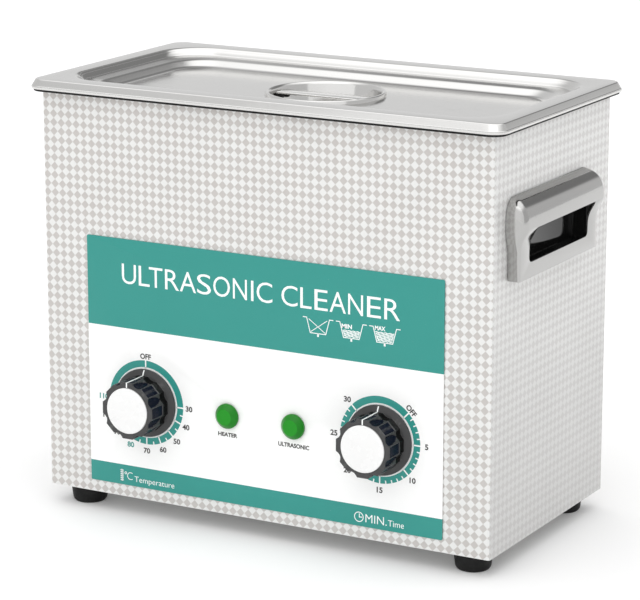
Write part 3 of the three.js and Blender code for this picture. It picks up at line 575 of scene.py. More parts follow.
# A near-black copy of the knob plastic for the grip's rear band by the flange: painted shadow.
knob_root_painted_shadow = moulded("knob_root_painted_shadow", (0.007, 0.007, 0.007, 1), (0.03, 0.03, 0.03, 1), rough=(0.24, 0.34),
                     depth=0.003, specular=0.06)
cap_white = moulded("cap_plastic", (0.84, 0.84, 0.835, 1), (0.86, 0.86, 0.855, 1), rough=(0.24, 0.32),
                    grain=0.6, depth=0.0015, coat=0.2, cloudy=0.1)
gloss_black = moulded("black_plastic", (0.009, 0.009, 0.009, 1), (0.03, 0.03, 0.03, 1),
                      rough=(0.04, 0.08), grain=6.0, depth=0.004)
lens_green = green_lens("green_lens", (0.006, 0.275, 0.007, 1), (0.005, 0.250, 0.006, 1))
# A darker green for the lens's sloped ring: painted shade.
lens_rim_painted_shade = green_lens("green_lens_rim_painted_shade", (0.004, 0.205, 0.005, 1), (0.003, 0.180, 0.004, 1))
aluminium = turned_metal("aluminium", (0.62, 0.63, 0.64, 1), (0.48, 0.48, 0.49, 1))
brass = turned_metal("brass", (0.60, 0.43, 0.17, 1), (0.38, 0.26, 0.11, 1), rough=0.28)
nickel = turned_metal("nickel", (0.60, 0.58, 0.54, 1), (0.45, 0.43, 0.40, 1), rough=0.25)
ceramic = mineral("ceramic", (0.62, 0.56, 0.44, 1), (0.50, 0.44, 0.33, 1))
silicone = mineral("silicone", (0.42, 0.075, 0.022, 1), (0.34, 0.055, 0.018, 1), size=0.8, rough=0.62)
board_green = circuit_board()
red_plastic = moulded("red_plastic", (0.42, 0.012, 0.010, 1), (0.55, 0.09, 0.07, 1), rough=(0.26, 0.4))


# ------------------------------------------------------------------ casing and feet
def make_casing():
    """The wrap-round sheet casing, with its openings for the handles, the fittings and the air."""
    mouth = tuple(size + 1.4 for size in BASIN)
    bend = 2.0
    inner = (half_x - SHEET, half_y - SHEET, bend - SHEET)
    sections = [
        (half_x, half_y, bend, casing_bottom),
        (half_x, half_y, bend, casing_top),
        (*mouth, casing_top),
        (*mouth, casing_top - SHEET),
        (*inner, casing_top - SHEET),
        (*inner, casing_bottom),
    ]
    reaches = [0.3, 1.2, 0.3, 0.3, 0.8, 0.3]
    shell = loft([rounded_loop(*s, steps=10) for s in soften(sections, reaches, 4, closed=True)], ring=True)
    rear = (half_y - 2, half_y + 2)
    plate_low, plate_high = corners("rear_plate")
    lap = 6
    cutters = [
        block(plate_low.x + lap, plate_high.x - lap, *rear, plate_low.z + lap, plate_high.z - lap, 2, "Y"),
        move(rod(8.6, -2, 2), centre("drain_pipe").x, half_y, DRAIN_HEIGHT),
    ]
    for side in ("left", "right"):
        low, high = corners(side + "_finger_cup")
        slack = Vector((0, 0.4, 0.4))
        low, high = low - slack, high + slack
        wall = math.copysign(half_x, low.x)
        cutters.append(block(wall - 3, wall + 3, low.y, high.y, low.z, high.z, 3, "X"))
    cutters += front_holes(-half_y, 32)
    first_vent, vents, pitch, vent_half = 92, 9, 6, 1.5
    vent_foot, vent_top = 38, 84
    for column in range(vents):
        x = first_vent + column * pitch
        cutters.append(block(x - vent_half, x + vent_half, *rear, vent_foot, vent_top, 1.45, "Y"))
    make("casing_shell", shell, steel_pattern, replaces="casing", cutters=cutters)


def make_feet():
    for name in ("front_left", "front_right", "rear_left", "rear_right"):
        top = corners("foot_" + name)[1].z
        profile = soften([
            (2.6, top), (12.2, top), (10.9, 2.0), (10.3, 0.9), (9.4, 0), (5.6, 0), (5.6, 6.2), (2.6, 6.2),
        ], [0.2, 0.6, 1.0, 0.5, 0.4, 0.4, 0.4, 0.2], 4, closed=True)
        foot = lathe(profile, segments=72, closed=True)
        spot = centre("foot_" + name)
        make(f"rubber_foot_{name}", move(foot, spot.x, spot.y), black_rubber,
             replaces="foot_" + name)


# ------------------------------------------------------------------ tank, gasket, lid
def fine_loop(section):
    """A section of the tank or the lid, dense enough for its wide curves."""
    return rounded_loop(*section, steps=12, along_x=72, along_y=24)


def make_tank():
    wall, lip, rim_corner, foot, straight = 1, 1.4, 9.4, 12, 40
    low, high = corners("tank")
    rim_x, rim_y, rim_top = high.x, high.y, high.z
    rim_bottom = rim_top - lip
    floor = low.z + wall
    basin_x, basin_y, corner = BASIN
    back = tuple(size + wall for size in BASIN)

    def bowl(grow, level, radius):
        """The round foot of the basin's wall, seen from the inside or, grown, from the outside."""
        steps = 8
        sections = []
        for step in range(steps + 1):
            angle = -math.pi / 2 * (1 - step / steps)
            run = radius * math.cos(angle)
            inward = radius - run
            sections.append((
                basin_x + grow - inward, basin_y + grow - inward,
                corner + grow - inward * 0.5, level + radius * (1 + math.sin(angle)),
            ))
        return sections

    rim = soften([
        (*BASIN, rim_top - straight),
        (*BASIN, rim_top),
        (rim_x, rim_y, rim_corner, rim_top),
        (rim_x, rim_y, rim_corner, rim_bottom),
        (*back, rim_bottom),
        (*back, rim_bottom - straight),
    ], [0, 1.2, 0.2, 0.4, 0.3, 0], 4)
    sections = [*bowl(0, floor, foot), *rim, *reversed(bowl(wall, floor - wall, foot + wall))]
    hole = move(rod(5.5, -4, 4, "Z"), centre("drain_pipe").x, 40, floor)
    make("tank_shell", loft([fine_loop(s) for s in sections]), steel_tank,
         replaces="tank", cutters=[hole])


def make_gasket():
    low, high = corners("rim_gasket")
    inner = tuple(size + 1.6 for size in BASIN)
    outer = (high.x, high.y, 8.4)
    corner_sections = [(*outer, low.z), (*outer, high.z), (*inner, high.z), (*inner, low.z)]
    sections = soften(corner_sections, 0.45, 3, closed=True)
    make("rim_seal", loft([rounded_loop(*s, steps=14) for s in sections], ring=True), black_rubber,
         replaces="rim_gasket")


lid_top = corners("lid")[1].z
DISH = 264.1
CUP = {"radius": 35.7, "depth": 15, "bead": 2.1, "raised": 2.5}

# Lid sections from the skirt's lip over the flat rim and down the two-step dish to its flat floor:
# half length, half width, corner radius and height.
LID_SECTIONS = [
    (162.55, 88.05, 9.2, 269.06),
    (162.55, 88.05, 9.2, 269.4),
    (162.3, 87.8, 9.0, 269.65),
    (160.2, 85.7, 7.6, lid_top),
    (148.3, 72.3, 27.6, lid_top),
    (145.9, 69.9, 25.9, lid_top - 3.2),
    (144.6, 68.6, 25.2, lid_top - 4.4),
    (137.0, 61.0, 23.4, lid_top - 5.8),
    (131.8, 55.8, 21.6, DISH + 0.6),
    (130.0, 54.0, 21.0, DISH),
    (122.0, 46.0, 18.0, DISH),
]
LID_SOFTNESS = [0, 0.12, 0.12, 0.7, 2.2, 1.4, 1.2, 1.6, 1.0, 1.2, 0]


def underside(sections, thickness):
    """The same sections moved by the sheet's thickness, square to the surface."""
    moved = []
    for i, section in enumerate(sections):
        before, after = sections[max(i - 1, 0)], sections[min(i + 1, len(sections) - 1)]
        run, drop = after[0] - before[0], after[3] - before[3]
        length = math.hypot(run, drop) or 1
        inward = -abs(drop) / length * thickness
        moved.append(Vector((
            section[0] + inward, section[1] + inward, section[2] + inward,
            section[3] - abs(run) / length * thickness,
        )))
    return moved


def circle_under(loop, radius, level):
    """A circle with one point under each point of a loop, at the same bearing."""
    bearings = [math.atan2(point.y, point.x) for point in loop]
    return [Vector((radius * math.cos(b), radius * math.sin(b), level)) for b in bearings]


def make_lid():
    top = soften(LID_SECTIONS, LID_SOFTNESS, 5)
    thickness = 1.0
    under = underside(top, thickness)
    for i, section in enumerate(under):
        section[3] = max(section[3], LID_SECTIONS[0][3]) if i < 12 else section[3]
    over_loops = [fine_loop(s) for s in top]
    under_loops = [fine_loop(s) for s in reversed(under)]
    hole = CUP["radius"] + 0.2
    last = over_loops[-1]
    plate = loft([
        *over_loops, circle_under(last, hole, DISH),
        circle_under(last, hole, DISH - thickness), *under_loops,
    ], ring=True)
    radius, depth = CUP["radius"], CUP["depth"]
    floor = DISH - depth
    edge = radius + CUP["bead"]
    brim = DISH + CUP["raised"]
    profile = soften([
        (0, floor), (radius - 4.6, floor), (radius - 1.4, brim - 1.4), (radius - 0.3, brim),
        (edge - 0.6, brim), (edge, DISH + 0.2), (edge, DISH - thickness - 0.2),
        (radius - 0.2, DISH - thickness - 0.2), (radius - 3.7, floor - 1), (0, floor - 1),
    ], [0, 5.0, 0.7, 0.6, 0.7, 0.3, 0.2, 0.3, 5.6, 0], 7)
    cup = lathe(profile, segments=144)
    make("lid_shell", joined(plate, cup), steel_lid, body="lid", replaces="lid",
         crease=28)


def make_lid_bar():
    """The pull strip across the finger cup, with two small black rubber blocks under each end that are
    painted shade: dark pieces put where the strip's ends lie in shade.
    """
    low, high = corners("lid_bar")
    half_length, half_width = high.x, high.y
    top, thickness = high.z, 1.4
    seat = 3.4
    under = top - thickness
    outline = soften([
        (-half_length, under), (half_length, under), (half_length, top), (-half_length, top),
    ], [0.3, 0.3, 0.9, 0.9], 5, closed=True)
    strip = prism(outline, -half_width, half_width, "Y")
    make("lid_pull", strip, steel_bar_painted_bright, body="lid", replaces="lid_bar", edge=0.3)
    # The black blocks under the strip's ends are painted shade.
    for name, side in (("left", -1), ("right", 1)):
        outer, inner = side * (half_length - 0.1), side * (half_length - seat)
        for place, along_y in (("front", -1), ("rear", 1)):
            near, far = along_y * (half_width - 0.3), along_y * (half_width - 4.0)
            shade_block = block(inner, outer, near, far, low.z, under, 0.8)
            make(f"lid_pull_shade_block_{name}_{place}", shade_block, black_rubber, body="lid", edge=0.25)


# ------------------------------------------------------------------ front panel and its print
def make_panel():
    low, high = corners("front_panel")
    plate = block(low.x, high.x, low.y, high.y, low.z, high.z, 0.8, "Y", 4)
    thing = make("front_overlay", plate, [film_teal, film_white],
                 replaces="front_panel", cutters=front_holes(panel_face, 40), edge=0.12)
    form = bmesh.new()
    form.from_mesh(thing.data)
    limits = [height(BAND_LOW) * MM, height(BAND_WHITE) * MM]
    for limit in limits:
        bmesh.ops.bisect_plane(form, geom=form.verts[:] + form.edges[:] + form.faces[:],
                               plane_co=(0, 0, limit), plane_no=(0, 0, 1))
    for face in form.faces:
        face.material_index = 1 if limits[0] < face.calc_center_median().z < limits[1] else 0
    form.to_mesh(thing.data)
    form.free()


INK = {"teal": 0.03, "dark": 0.05, "white": 0.06}  # how far each ink stands off the film
ink_root = panel_face - 0.004


def flat_shape(points, ink_name):
    """A closed outline of [x, height] points, printed on the panel."""
    return prism(points, panel_face - INK[ink_name], ink_root, "Y")


def stroke(points, width):
    """A white line of even width through [x, height] points, mitred at its corners."""
    points = [Vector(p) for p in points]
    left, right = [], []
    for i, point in enumerate(points):
        before = points[i] - points[i - 1] if i else points[1] - points[0]
        after = points[i + 1] - points[i] if i + 1 < len(points) else before
        before, after = before.normalized(), after.normalized()
        tangent = (before + after).normalized()
        side = Vector((-tangent.y, tangent.x))
        stretch = 1 / max(0.35, side.dot(Vector((-before.y, before.x))))
        left.append(point + side * stretch * width / 2)
        right.append(point - side * stretch * width / 2)
    return flat_shape(left + right[::-1], "white")


def circle_points(x, z, radius, start=0, end=360, steps=48):
    """Points round a circle, by bearing: degrees clockwise from the top."""
    bearings = [math.radians(start + (end - start) * i / steps) for i in range(steps + 1)]
    return [(x + radius * math.sin(b), z + radius * math.cos(b)) for b in bearings]


def sector(x, z, inner, outer, start, end, ink_name):
    steps = max(2, int(abs(end - start) / 3))
    far = circle_points(x, z, outer, start, end, steps)
    near = circle_points(x, z, inner, start, end, steps)
    return flat_shape(far + near[::-1], ink_name)


def lettering(text, ink_name, box=None, middle=None, tall=None, turn=0.0, weight=0.0, stretch=1.0):
    """Printed words that fill a box (left, right, bottom, top), or are tall high about a middle point.

    weight thickens the strokes, as a share of the letters' size.
    """
    curve = bpy.data.curves.new("text", "FONT")
    curve.body = text
    curve.resolution_u = 4
    curve.offset = weight
    thing = placed("text", curve)
    bpy.context.view_layer.update()
    graph = bpy.context.evaluated_depsgraph_get()
    mesh = bpy.data.meshes.new_from_object(thing.evaluated_get(graph))
    bpy.data.objects.remove(thing)
    bpy.data.curves.remove(curve)
    form = bmesh.new()
    form.from_mesh(mesh)
    bpy.data.meshes.remove(mesh)
    xs = [v.co.x for v in form.verts]
    ys = [v.co.y for v in form.verts]
    wide, high = max(xs) - min(xs), max(ys) - min(ys)
    if box:
        left, right, bottom, top = box
        scale_x, scale_z = (right - left) / wide, (top - bottom) / high
        middle = ((left + right) / 2, (bottom + top) / 2)
    else:
        scale_z = tall / high
        scale_x = scale_z * stretch
    angle = math.radians(turn)
    raised = panel_face - INK[ink_name]
    for vertex in form.verts:
        u = (vertex.co.x - (min(xs) + max(xs)) / 2) * scale_x
        w = (vertex.co.y - (min(ys) + max(ys)) / 2) * scale_z
        x = middle[0] + u * math.cos(angle) + w * math.sin(angle)
        z = middle[1] - u * math.sin(angle) + w * math.cos(angle)
        vertex.co = (x, raised, height(z))
    bmesh.ops.remove_doubles(form, verts=form.verts, dist=1e-4)
    rim = bmesh.ops.extrude_face_region(form, geom=form.faces[:])
    moved = [g for g in rim["geom"] if isinstance(g, bmesh.types.BMVert)]
    bmesh.ops.translate(form, verts=moved, vec=(0, ink_root - raised, 0))
    return form


def shifted(points):
    return [(x, height(z)) for x, z in points]


def tank_picture(stem, level, marked):
    """The outline of the tank in cross-section: how far to fill it, or a cross for running it dry."""
    lip, foot, deep, top = 10.4, 5.3, 123.7, 133.0
    brim = 7.8
    outline = [
        (stem - lip, top), (stem - brim, top), (stem - foot, deep), (stem + foot, deep),
        (stem + brim, top), (stem + lip, top),
    ]
    forms = [
        stroke(shifted(outline), 0.5),
        stroke(shifted([(stem, deep), (stem, deep - 2.0)]), 1.2),
    ]
    if not marked:
        cross = [((-6.4, 132.2), (4.9, 124.4)), ((6.2, 132.2), (-4.9, 124.4))]
        for (x0, z0), (x1, z1) in cross:
            forms.append(stroke(shifted([(stem + x0, z0), (stem + x1, z1)]), 0.42))
        return forms
    rows = int((level - deep) / 0.85)
    for row in range(rows):
        z = deep + 1.0 + row * 0.85
        reach = foot - 0.6 + (brim - foot) * (z - deep) / (top - deep)
        wave = [(stem - reach + reach * 2 * i / 24, z + 0.2 * math.sin(i * 1.1 + row)) for i in range(25)]
        forms.append(stroke(shifted(wave), 0.5))
    return forms


# The title's letters, with the left and right end of each.
TITLE_WEIGHT = -0.004
TITLE = (
    ("U", -98.1, -87.8), ("L", -85.8, -77.9), ("T", -78.3, -68.5), ("R", -66.7, -56.7), ("A", -56.1, -44.5),
    ("S", -43.7, -33.8), ("O", -32.2, -20.4), ("N", -18.3, -8.5), ("I", -5.6, -3.9), ("C", -1.7, 9.2),
    ("C", 15.5, 26.6), ("L", 28.5, 36.2), ("E", 38.2, 47.2), ("A", 48.5, 59.5), ("N", 61.0, 71.0),
    ("E", 73.7, 83.0), ("R", 85.2, 95.7),
)


def make_print():
    white, dark, teal = [], [], []
    for letter, left, right in TITLE:
        white.append(lettering(letter, "white", box=(left, right, 138.2, 150.8), weight=TITLE_WEIGHT))

    for stem, level, words in ((40.6, 0, ""), (63.2, 128.0, "MIN"), (85.6, 130.2, "MAX")):
        white.extend(tank_picture(stem, level, words))
        if words:
            base = level + 1.3 if words == "MIN" else level + 0.7
            box = (stem - 6.6, stem + 0.4, base, base + 2.7)
            white.append(lettering(words, "white", box=box, weight=0.034))

    # Thermometer and temperature caption.
    scale_x, low, high = -100.5, 10.2, 18.0
    white.append(stroke(shifted([(scale_x, low), (scale_x, high)]), 0.55))
    for row in range(6):
        z = low + 0.7 + row * (high - low - 1.4) / 5
        white.append(stroke(shifted([(scale_x - 1.1, z), (scale_x + 1.1, z)]), 0.72))
    ring = circle_points(-97.7, 15.8, 0.7, steps=20)
    white.append(stroke(shifted(ring), 0.4))
    white.append(lettering("C", "white", box=(-96.7, -92.6, 11.7, 16.6), weight=-0.018))
    white.append(lettering("Temperature", "white", box=(-91.2, -61.9, 9.8, 14.6), weight=-0.007))

    # Clock and time caption.
    clock_x, clock_z = 68.7, 13.7
    white.append(stroke(shifted(circle_points(clock_x, clock_z, 2.95, steps=40)), 0.5))
    hands = [(clock_x + 0.3, clock_z + 2.2), (clock_x + 0.3, clock_z - 0.1), (clock_x + 2.2, clock_z + 0.1)]
    white.append(stroke(shifted(hands), 0.5))
    white.append(lettering("MIN.", "white", box=(73.2, 87.6, 11.0, 16.1), weight=-0.006))
    white.append(lettering("Time", "white", box=(88.5, 99.2, 11.0, 14.8), weight=-0.007))

    # Lamp captions.
    dark.append(lettering("HEATER", "dark", box=(-29.6, -15.9, 50.4, 53.0), weight=0.036))
    dark.append(lettering("ULTRASONIC", "dark", box=(12.9, 34.5, 50.1, 52.9), weight=0.036))

    # The dials' rings, with their divisions, and the numbers round them.
    inner, outer = 22.3, 27.0
    label_radius = 31.2
    for name, first, last in (("temperature", 90, 270), ("timer", 45, 315)):
        spot = centre(name + "_shaft")
        x, z = spot.x, spot.z
        teal.append(sector(x, z, inner, outer, last - 360, first, "teal"))
        steps, per_major = (16, 2) if name == "temperature" else (30, 5)
        step = (last - first) / steps
        for i in range(steps):
            teal.append(sector(x, z, inner, outer, first + i * step, first + (i + 1) * step, "teal"))
        for i in range(steps + 1):
            major = i % per_major == 0
            bearing = math.radians(first + i * step)
            start = inner - 0.1 if major else (inner + outer) / 2 + 0.4
            line = [(x + r * math.sin(bearing), z + r * math.cos(bearing)) for r in (start, outer + 0.15)]
            white.append(stroke(line, 0.9 if major else 0.75))
        if name == "temperature":
            white.append(stroke([(x, z + inner - 0.1), (x, z + outer + 0.15)], 0.9))
        white.append(stroke(circle_points(x, z, inner + 0.15, steps=96), 0.4))
    heat, wait = centre("temperature_shaft"), centre("timer_shaft")
    labels = [(heat, 0, "OFF", "dark", 0)]
    for i in range(9):
        degrees = 30 + 10 * i
        labels.append((heat, 90 + 22.5 * i, str(degrees), "teal" if degrees in (80, 110) else "dark", 0))
    labels.append((wait, 45, "OFF", "dark", 45))
    for i in range(6):
        labels.append((wait, 90 + 45 * i, str(5 + 5 * i), "dark", 0))
    for spot, bearing, words, tone, turn in labels:
        angle = math.radians(bearing)
        reach = label_radius - (1.7 if words == "OFF" else 0)
        middle = (spot.x + reach * math.sin(angle), spot.z + reach * math.cos(angle) - casing_bottom)
        made = lettering(words, tone, middle=middle, tall=3.55, turn=turn, weight=0.03,
                         stretch=0.96 if words == "OFF" else 1.06)
        (teal if tone == "teal" else dark).append(made)
    printed = {"white": (white, ink_white), "dark": (dark, ink_dark), "teal": (teal, ink_teal)}
    for tone, (forms, finish) in printed.items():
        make("print_" + tone, joined(*forms), finish)


# ------------------------------------------------------------------ knobs and lamps
KNOB = {"tip": 18.3, "lobes": 8, "cap": 14.5, "columns": 384}
FLAT_SHARE = 0.26  # half of a flat facet, as a share of a lobe and its scallop
POCKET_DEPTH = 0.55


def grip_outline(bearing):
    """Radius of the grip at a bearing, the depth of its scallop there, and the place across the facet.

    Each lobe is a flat facet, and each two lobes have a round scallop between them. The place across a
    facet runs from -1 to 1, and comes with whether the facet is a scallop.
    """
    turn = bearing * KNOB["lobes"] / (2 * math.pi)
    share = turn - round(turn)
    off = abs(share)
    flat_edge = FLAT_SHARE * 2 * math.pi / KNOB["lobes"]
    if off <= FLAT_SHARE:
        radius = KNOB["tip"] * math.cos(flat_edge) / math.cos(off * 2 * math.pi / KNOB["lobes"])
        return radius, 0.0, share / FLAT_SHARE, False
    across = (0.5 - off) / (0.5 - FLAT_SHARE)
    return KNOB["tip"], 1 - across * across, math.copysign(across, share), True


def grip_loop(level, scallop, shrink=0.0, behind=None):
    """One ring of the grip. behind is how far it lies behind the face, where the pockets are pressed in."""
    loop = []
    for i in range(KNOB["columns"]):
        bearing = 2 * math.pi * i / KNOB["columns"]
        radius, dip, across, is_scallop = grip_outline(bearing)
        radius -= dip * scallop + shrink
        if behind is not None:
            radius -= POCKET_DEPTH * pocket(across, behind, is_scallop)
        loop.append(Vector((radius * math.sin(bearing), level, radius * math.cos(bearing))))
    return loop


def pocket(across, behind, is_scallop):
    """How far a pocket is pressed in, from 0 to 1: square on the flats and arched on the scallops."""
    edge = 0.94
    if abs(across) >= edge:
        return 0.0
    reach = 12.6 if not is_scallop else 13.4 * math.sqrt(1 - (across / edge) ** 2)
    side = min(1.0, (edge - abs(across)) / 0.1)
    return max(0.0, min(side, (behind - 0.5) / 0.5, (reach - behind) / 0.45, 1.0))


def ring_loop(radius, level):
    bearings = (2 * math.pi * i / KNOB["columns"] for i in range(KNOB["columns"]))
    return [Vector((radius * math.sin(b), level, radius * math.cos(b))) for b in bearings]


def make_control(name):
    body = name + "_control"
    low, high = corners(name + "_knob")
    spot = centre(name + "_shaft")
    back, front = high.y, low.y  # its rear and its face; smaller y is nearer the user
    flange_radius = (high.x - low.x) / 2
    flange_edge = back - 1.5
    flange_root = back - 3.0
    seat = KNOB["cap"] + 0.25
    seat_level = front + 1.3
    bore = 3.3
    length = flange_root - front
    loops = [
        ring_loop(bore, back), ring_loop(flange_radius - 0.3, back), ring_loop(flange_radius, back - 0.3),
        ring_loop(flange_radius, flange_edge + 0.35), ring_loop(flange_radius - 0.12, flange_edge + 0.1),
        ring_loop(flange_radius - 0.45, flange_edge), ring_loop(KNOB["tip"] + 0.6, flange_root + 0.15),
        grip_loop(flange_root, 1.1, -0.2), grip_loop(flange_root - 0.35, 1.1),
    ]
    rings = 44
    for ring in range(rings, -1, -1):
        behind = 0.3 + (length - 1.2) * ring / rings
        scallop = 1.1 + 0.8 * min(1, (length - behind) / length * 1.6)
        loops.append(grip_loop(front + behind, scallop, 0, behind - 0.3))
    loops += [
        grip_loop(front + 0.2, 1.9, 0.1), grip_loop(front + 0.05, 1.9, 0.28), grip_loop(front, 1.9, 0.5),
        ring_loop(seat, front), ring_loop(seat, seat_level), ring_loop(bore, seat_level),
    ]
    thing = make(name + "_grip", move(loft(loops, ring=True), spot.x, 0, spot.z),
                 [knob_grey, knob_pocket_painted_shade, knob_root_painted_shadow], body=body,
                 replaces=name + "_knob", crease=38)
    # Pressed pockets take the darker bluish plastic, painted shade in the recesses.
    for face, where, away in faces_about(thing, spot):
        bearing = math.atan2(where.x - spot.x, where.z - spot.z)
        behind = where.y - front
        if away < seat + 0.2 or not 0.3 < behind < length - 0.3:
            continue
        _, _, across, is_scallop = grip_outline(bearing)
        if pocket(across, behind - 0.3, is_scallop) > 0.6:
            face.material_index = 1
        # The grip's rear band by the flange takes near-black plastic, a painted shadow.
        elif behind > 13.6:
            face.material_index = 2

    cap_low, cap_high = corners(name + "_knob_cap")
    radius = KNOB["cap"]
    cap = lathe(soften([
        (0, cap_high.y), (radius, cap_high.y), (radius, front - 0.25), (radius - 0.7, front - 0.6),
        (radius * 0.62, front - 0.98), (0, cap_low.y),
    ], [0, 0.2, 0.35, 0.5, 3.0, 0], 5), "Y", 160)
    make(name + "_cap", move(cap, spot.x, 0, spot.z), cap_white, body=body,
         replaces=name + "_knob_cap", crease=50)

    # The pointer runs in over the flange, out along the grip and over its face to the cap.
    tip = grip_outline(0)[0]
    half = 0.4
    raised = 0.1
    chain = [
        (flange_radius - 0.45, flange_edge), (KNOB["tip"] + 0.6, flange_root + 0.15),
        (tip + 0.1, flange_root), (tip, front + 13.4), (tip, front), (KNOB["cap"] + 0.3, front),
    ]
    offsets = [(0, -1), (0, -1), (0.7, -0.7), (1, 0), (0.7, -0.7), (0, -1)]
    loops = []
    for (r, y), (out, ahead) in zip(chain, offsets):
        outer = (r + out * raised * 1.6, y + ahead * raised * 1.6)
        inner = (r - out * 0.3, y - ahead * 0.3)
        around = ((-half, inner), (half, inner), (half, outer), (-half, outer))
        loops.append([Vector((x, level, radius)) for x, (radius, level) in around])
    make(name + "_pointer", move(loft(loops), spot.x, 0, spot.z), ink_white, body=body,
         crease=20)


def make_lamp(name):
    low, high = corners(name)
    spot = centre(name)
    back = panel_face - GAP
    radius, neck, front = 7.9, 5.0, low.y
    face_radius = radius - 2.9
    profile = soften([
        (0, high.y), (neck, high.y), (neck, back), (radius, back), (radius, back - 1.6),
        (face_radius, front + 0.1), (0, front),
    ], [0, 0.2, 0.2, 0.2, 0.9, 0.35, 0], 5)
    thing = make(name + "_lens", move(lathe(profile, "Y", 96), spot.x, 0, spot.z), [lens_green, lens_rim_painted_shade],
                 replaces=name)
    # The sloped ring round the lens face takes the darker green, painted shade for its slope.
    for face, _, away in faces_about(thing, spot):
        if away > face_radius:
            face.material_index = 1


# ------------------------------------------------------------------ side handles
# Horizontal sections of the stamped handle: height above the casing's edge, reach from the casing,
# half length and corner radius.
GRIP_SECTIONS = [
    (165.5, 8.0, 54.0, 1.3), (181.5, 8.0, 54.0, 1.5), (185.5, 8.3, 55.0, 2.2), (188.8, 9.2, 56.2, 3.2),
    (191.6, 10.6, 57.0, 4.2), (194.2, 12.2, 57.4, 4.8), (196.3, 13.1, 57.5, 5.2), (200.2, 13.1, 57.5, 5.4),
    (204.2, 12.5, 57.3, 5.3), (207.8, 11.2, 56.6, 5.1), (210.8, 9.3, 55.2, 4.6), (213.0, 6.6, 53.0, 3.9),
    (214.7, 2.2, 50.0, 1.8),
]
GRIP_WINDOW = {"half": 41.3, "bottom": 174.6, "top": 196.3}


def grip_wall(section, inset, root):
    """A U-shaped section of the handle, from the casing out round its front and back."""
    steps = 8
    level, reach, half, radius = section
    reach, half, radius = reach - inset, half - inset, max(radius - inset, 0.4)
    loop = [Vector((root, -half, level))]
    for side, start in ((-1, -90), (1, 0)):
        for step in range(steps + 1):
            angle = math.radians(start + 90 * step / steps)
            loop.append(Vector((
                reach - radius + radius * math.cos(angle),
                side * (half - radius) + radius * math.sin(angle),
                level,
            )))
    loop.append(Vector((root, half, level)))
    return loop


def make_handle(name, side):
    middle_y = centre(name + "_handle").y
    smooth = soften(GRIP_SECTIONS, [0, 1.0] + [3.0] * 9 + [1.2, 0], 3)
    outer = loft([grip_wall(s, 0, GAP) for s in smooth])
    thickness = 1.0
    inside = []
    shoulder, ridge = 203.0, GRIP_SECTIONS[-1][0]
    for i, section in enumerate(smooth):
        lowered = max(0.0, (section[0] - shoulder) / (ridge - shoulder)) * thickness
        inside.append((section[0] + thickness if i == 0 else section[0] - lowered, *section[1:]))
    inner = loft([grip_wall(s, thickness, -3) for s in inside])
    half, bottom, top = GRIP_WINDOW["half"], GRIP_WINDOW["bottom"], GRIP_WINDOW["top"]
    outline = soften([(-half, top), (-half, bottom), (half, bottom), (half, top)], [0, 4, 4, 0], 8)
    window = prism(outline, -2, 20, "X")
    for form in (outer, inner, window):
        move(form, half_x, middle_y, casing_bottom)
        if side < 0:
            bmesh.ops.scale(form, verts=form.verts, vec=(-1, 1, 1))
    shell = cut_form(outer, inner)
    make(name + "_handle_shell", shell, steel_handle_painted_shade, replaces=name + "_handle",
         cutters=[window], edge=0.22, crease=40)


def make_finger_cup(name, side):
    """The glossy black moulded pocket behind the handle's window; its black also stands in for the shade
    inside the opening, as painted shade.
    """
    low, high = corners(name + "_finger_cup")
    wall = 1.0
    deep, mouth = (low.x, high.x) if side > 0 else (high.x, low.x)
    outer = block(deep, mouth, low.y, high.y, low.z, high.z, 3, "X")
    hollow = block(
        deep + side * wall, mouth + side * 2, low.y + wall, high.y - wall, low.z + wall, high.z - wall,
        2.4, "X",
    )
    pocket_form = cut_form(outer, hollow)
    make(name + "_finger_pocket", pocket_form, gloss_black,
         replaces=name + "_finger_cup", edge=0.35)


# ------------------------------------------------------------------ rear fittings and the drain
def screw_head(radius, tall, cross):
    """A pan head with a cross recess, facing the rear."""
    dome = [(0, 0), (radius, 0), (radius * 0.92, tall * 0.6), (0, tall)]
    head = lathe(soften(dome, [0, 0.1, 0.5, 0], 4), "Y", 40)
    groove, bottom = 0.35, tall * 0.45
    arms = [
        block(-cross, cross, bottom, tall + 1, -groove, groove),
        block(-groove, groove, bottom, tall + 1, -cross, cross),
    ]
    return cut_form(head, joined(*arms))


def make_rear_plate():
    low, high = corners("rear_plate")
    z = centre("rear_plate").z
    through = (low.y - 1, high.y + 1)
    holes = [move(rod(6.4, *through, segments=40), centre("fuse_holder").x, 0, z)]
    for name, half_wide, half_high in (("power_inlet", 14.4, 10.4), ("switch_frame", 10.9, 7.9)):
        x = centre(name).x
        holes.append(block(x - half_wide, x + half_wide, *through, z - half_high, z + half_high, 1, "Y"))
    plate = block(low.x, high.x, low.y, high.y, low.z, high.z, 2.5, "Y")
    make("rear_cover", plate, steel_plain, replaces="rear_plate", cutters=holes,
         edge=0.15)
    inset = 3.6
    heads = []
    for x in (low.x + inset, high.x - inset):
        for level in (low.z + inset, high.z - inset):
            heads.append(move(screw_head(2.4, 1.3, 1.3), x, high.y, level))
    make("rear_cover_screws", joined(*heads), steel_plain)


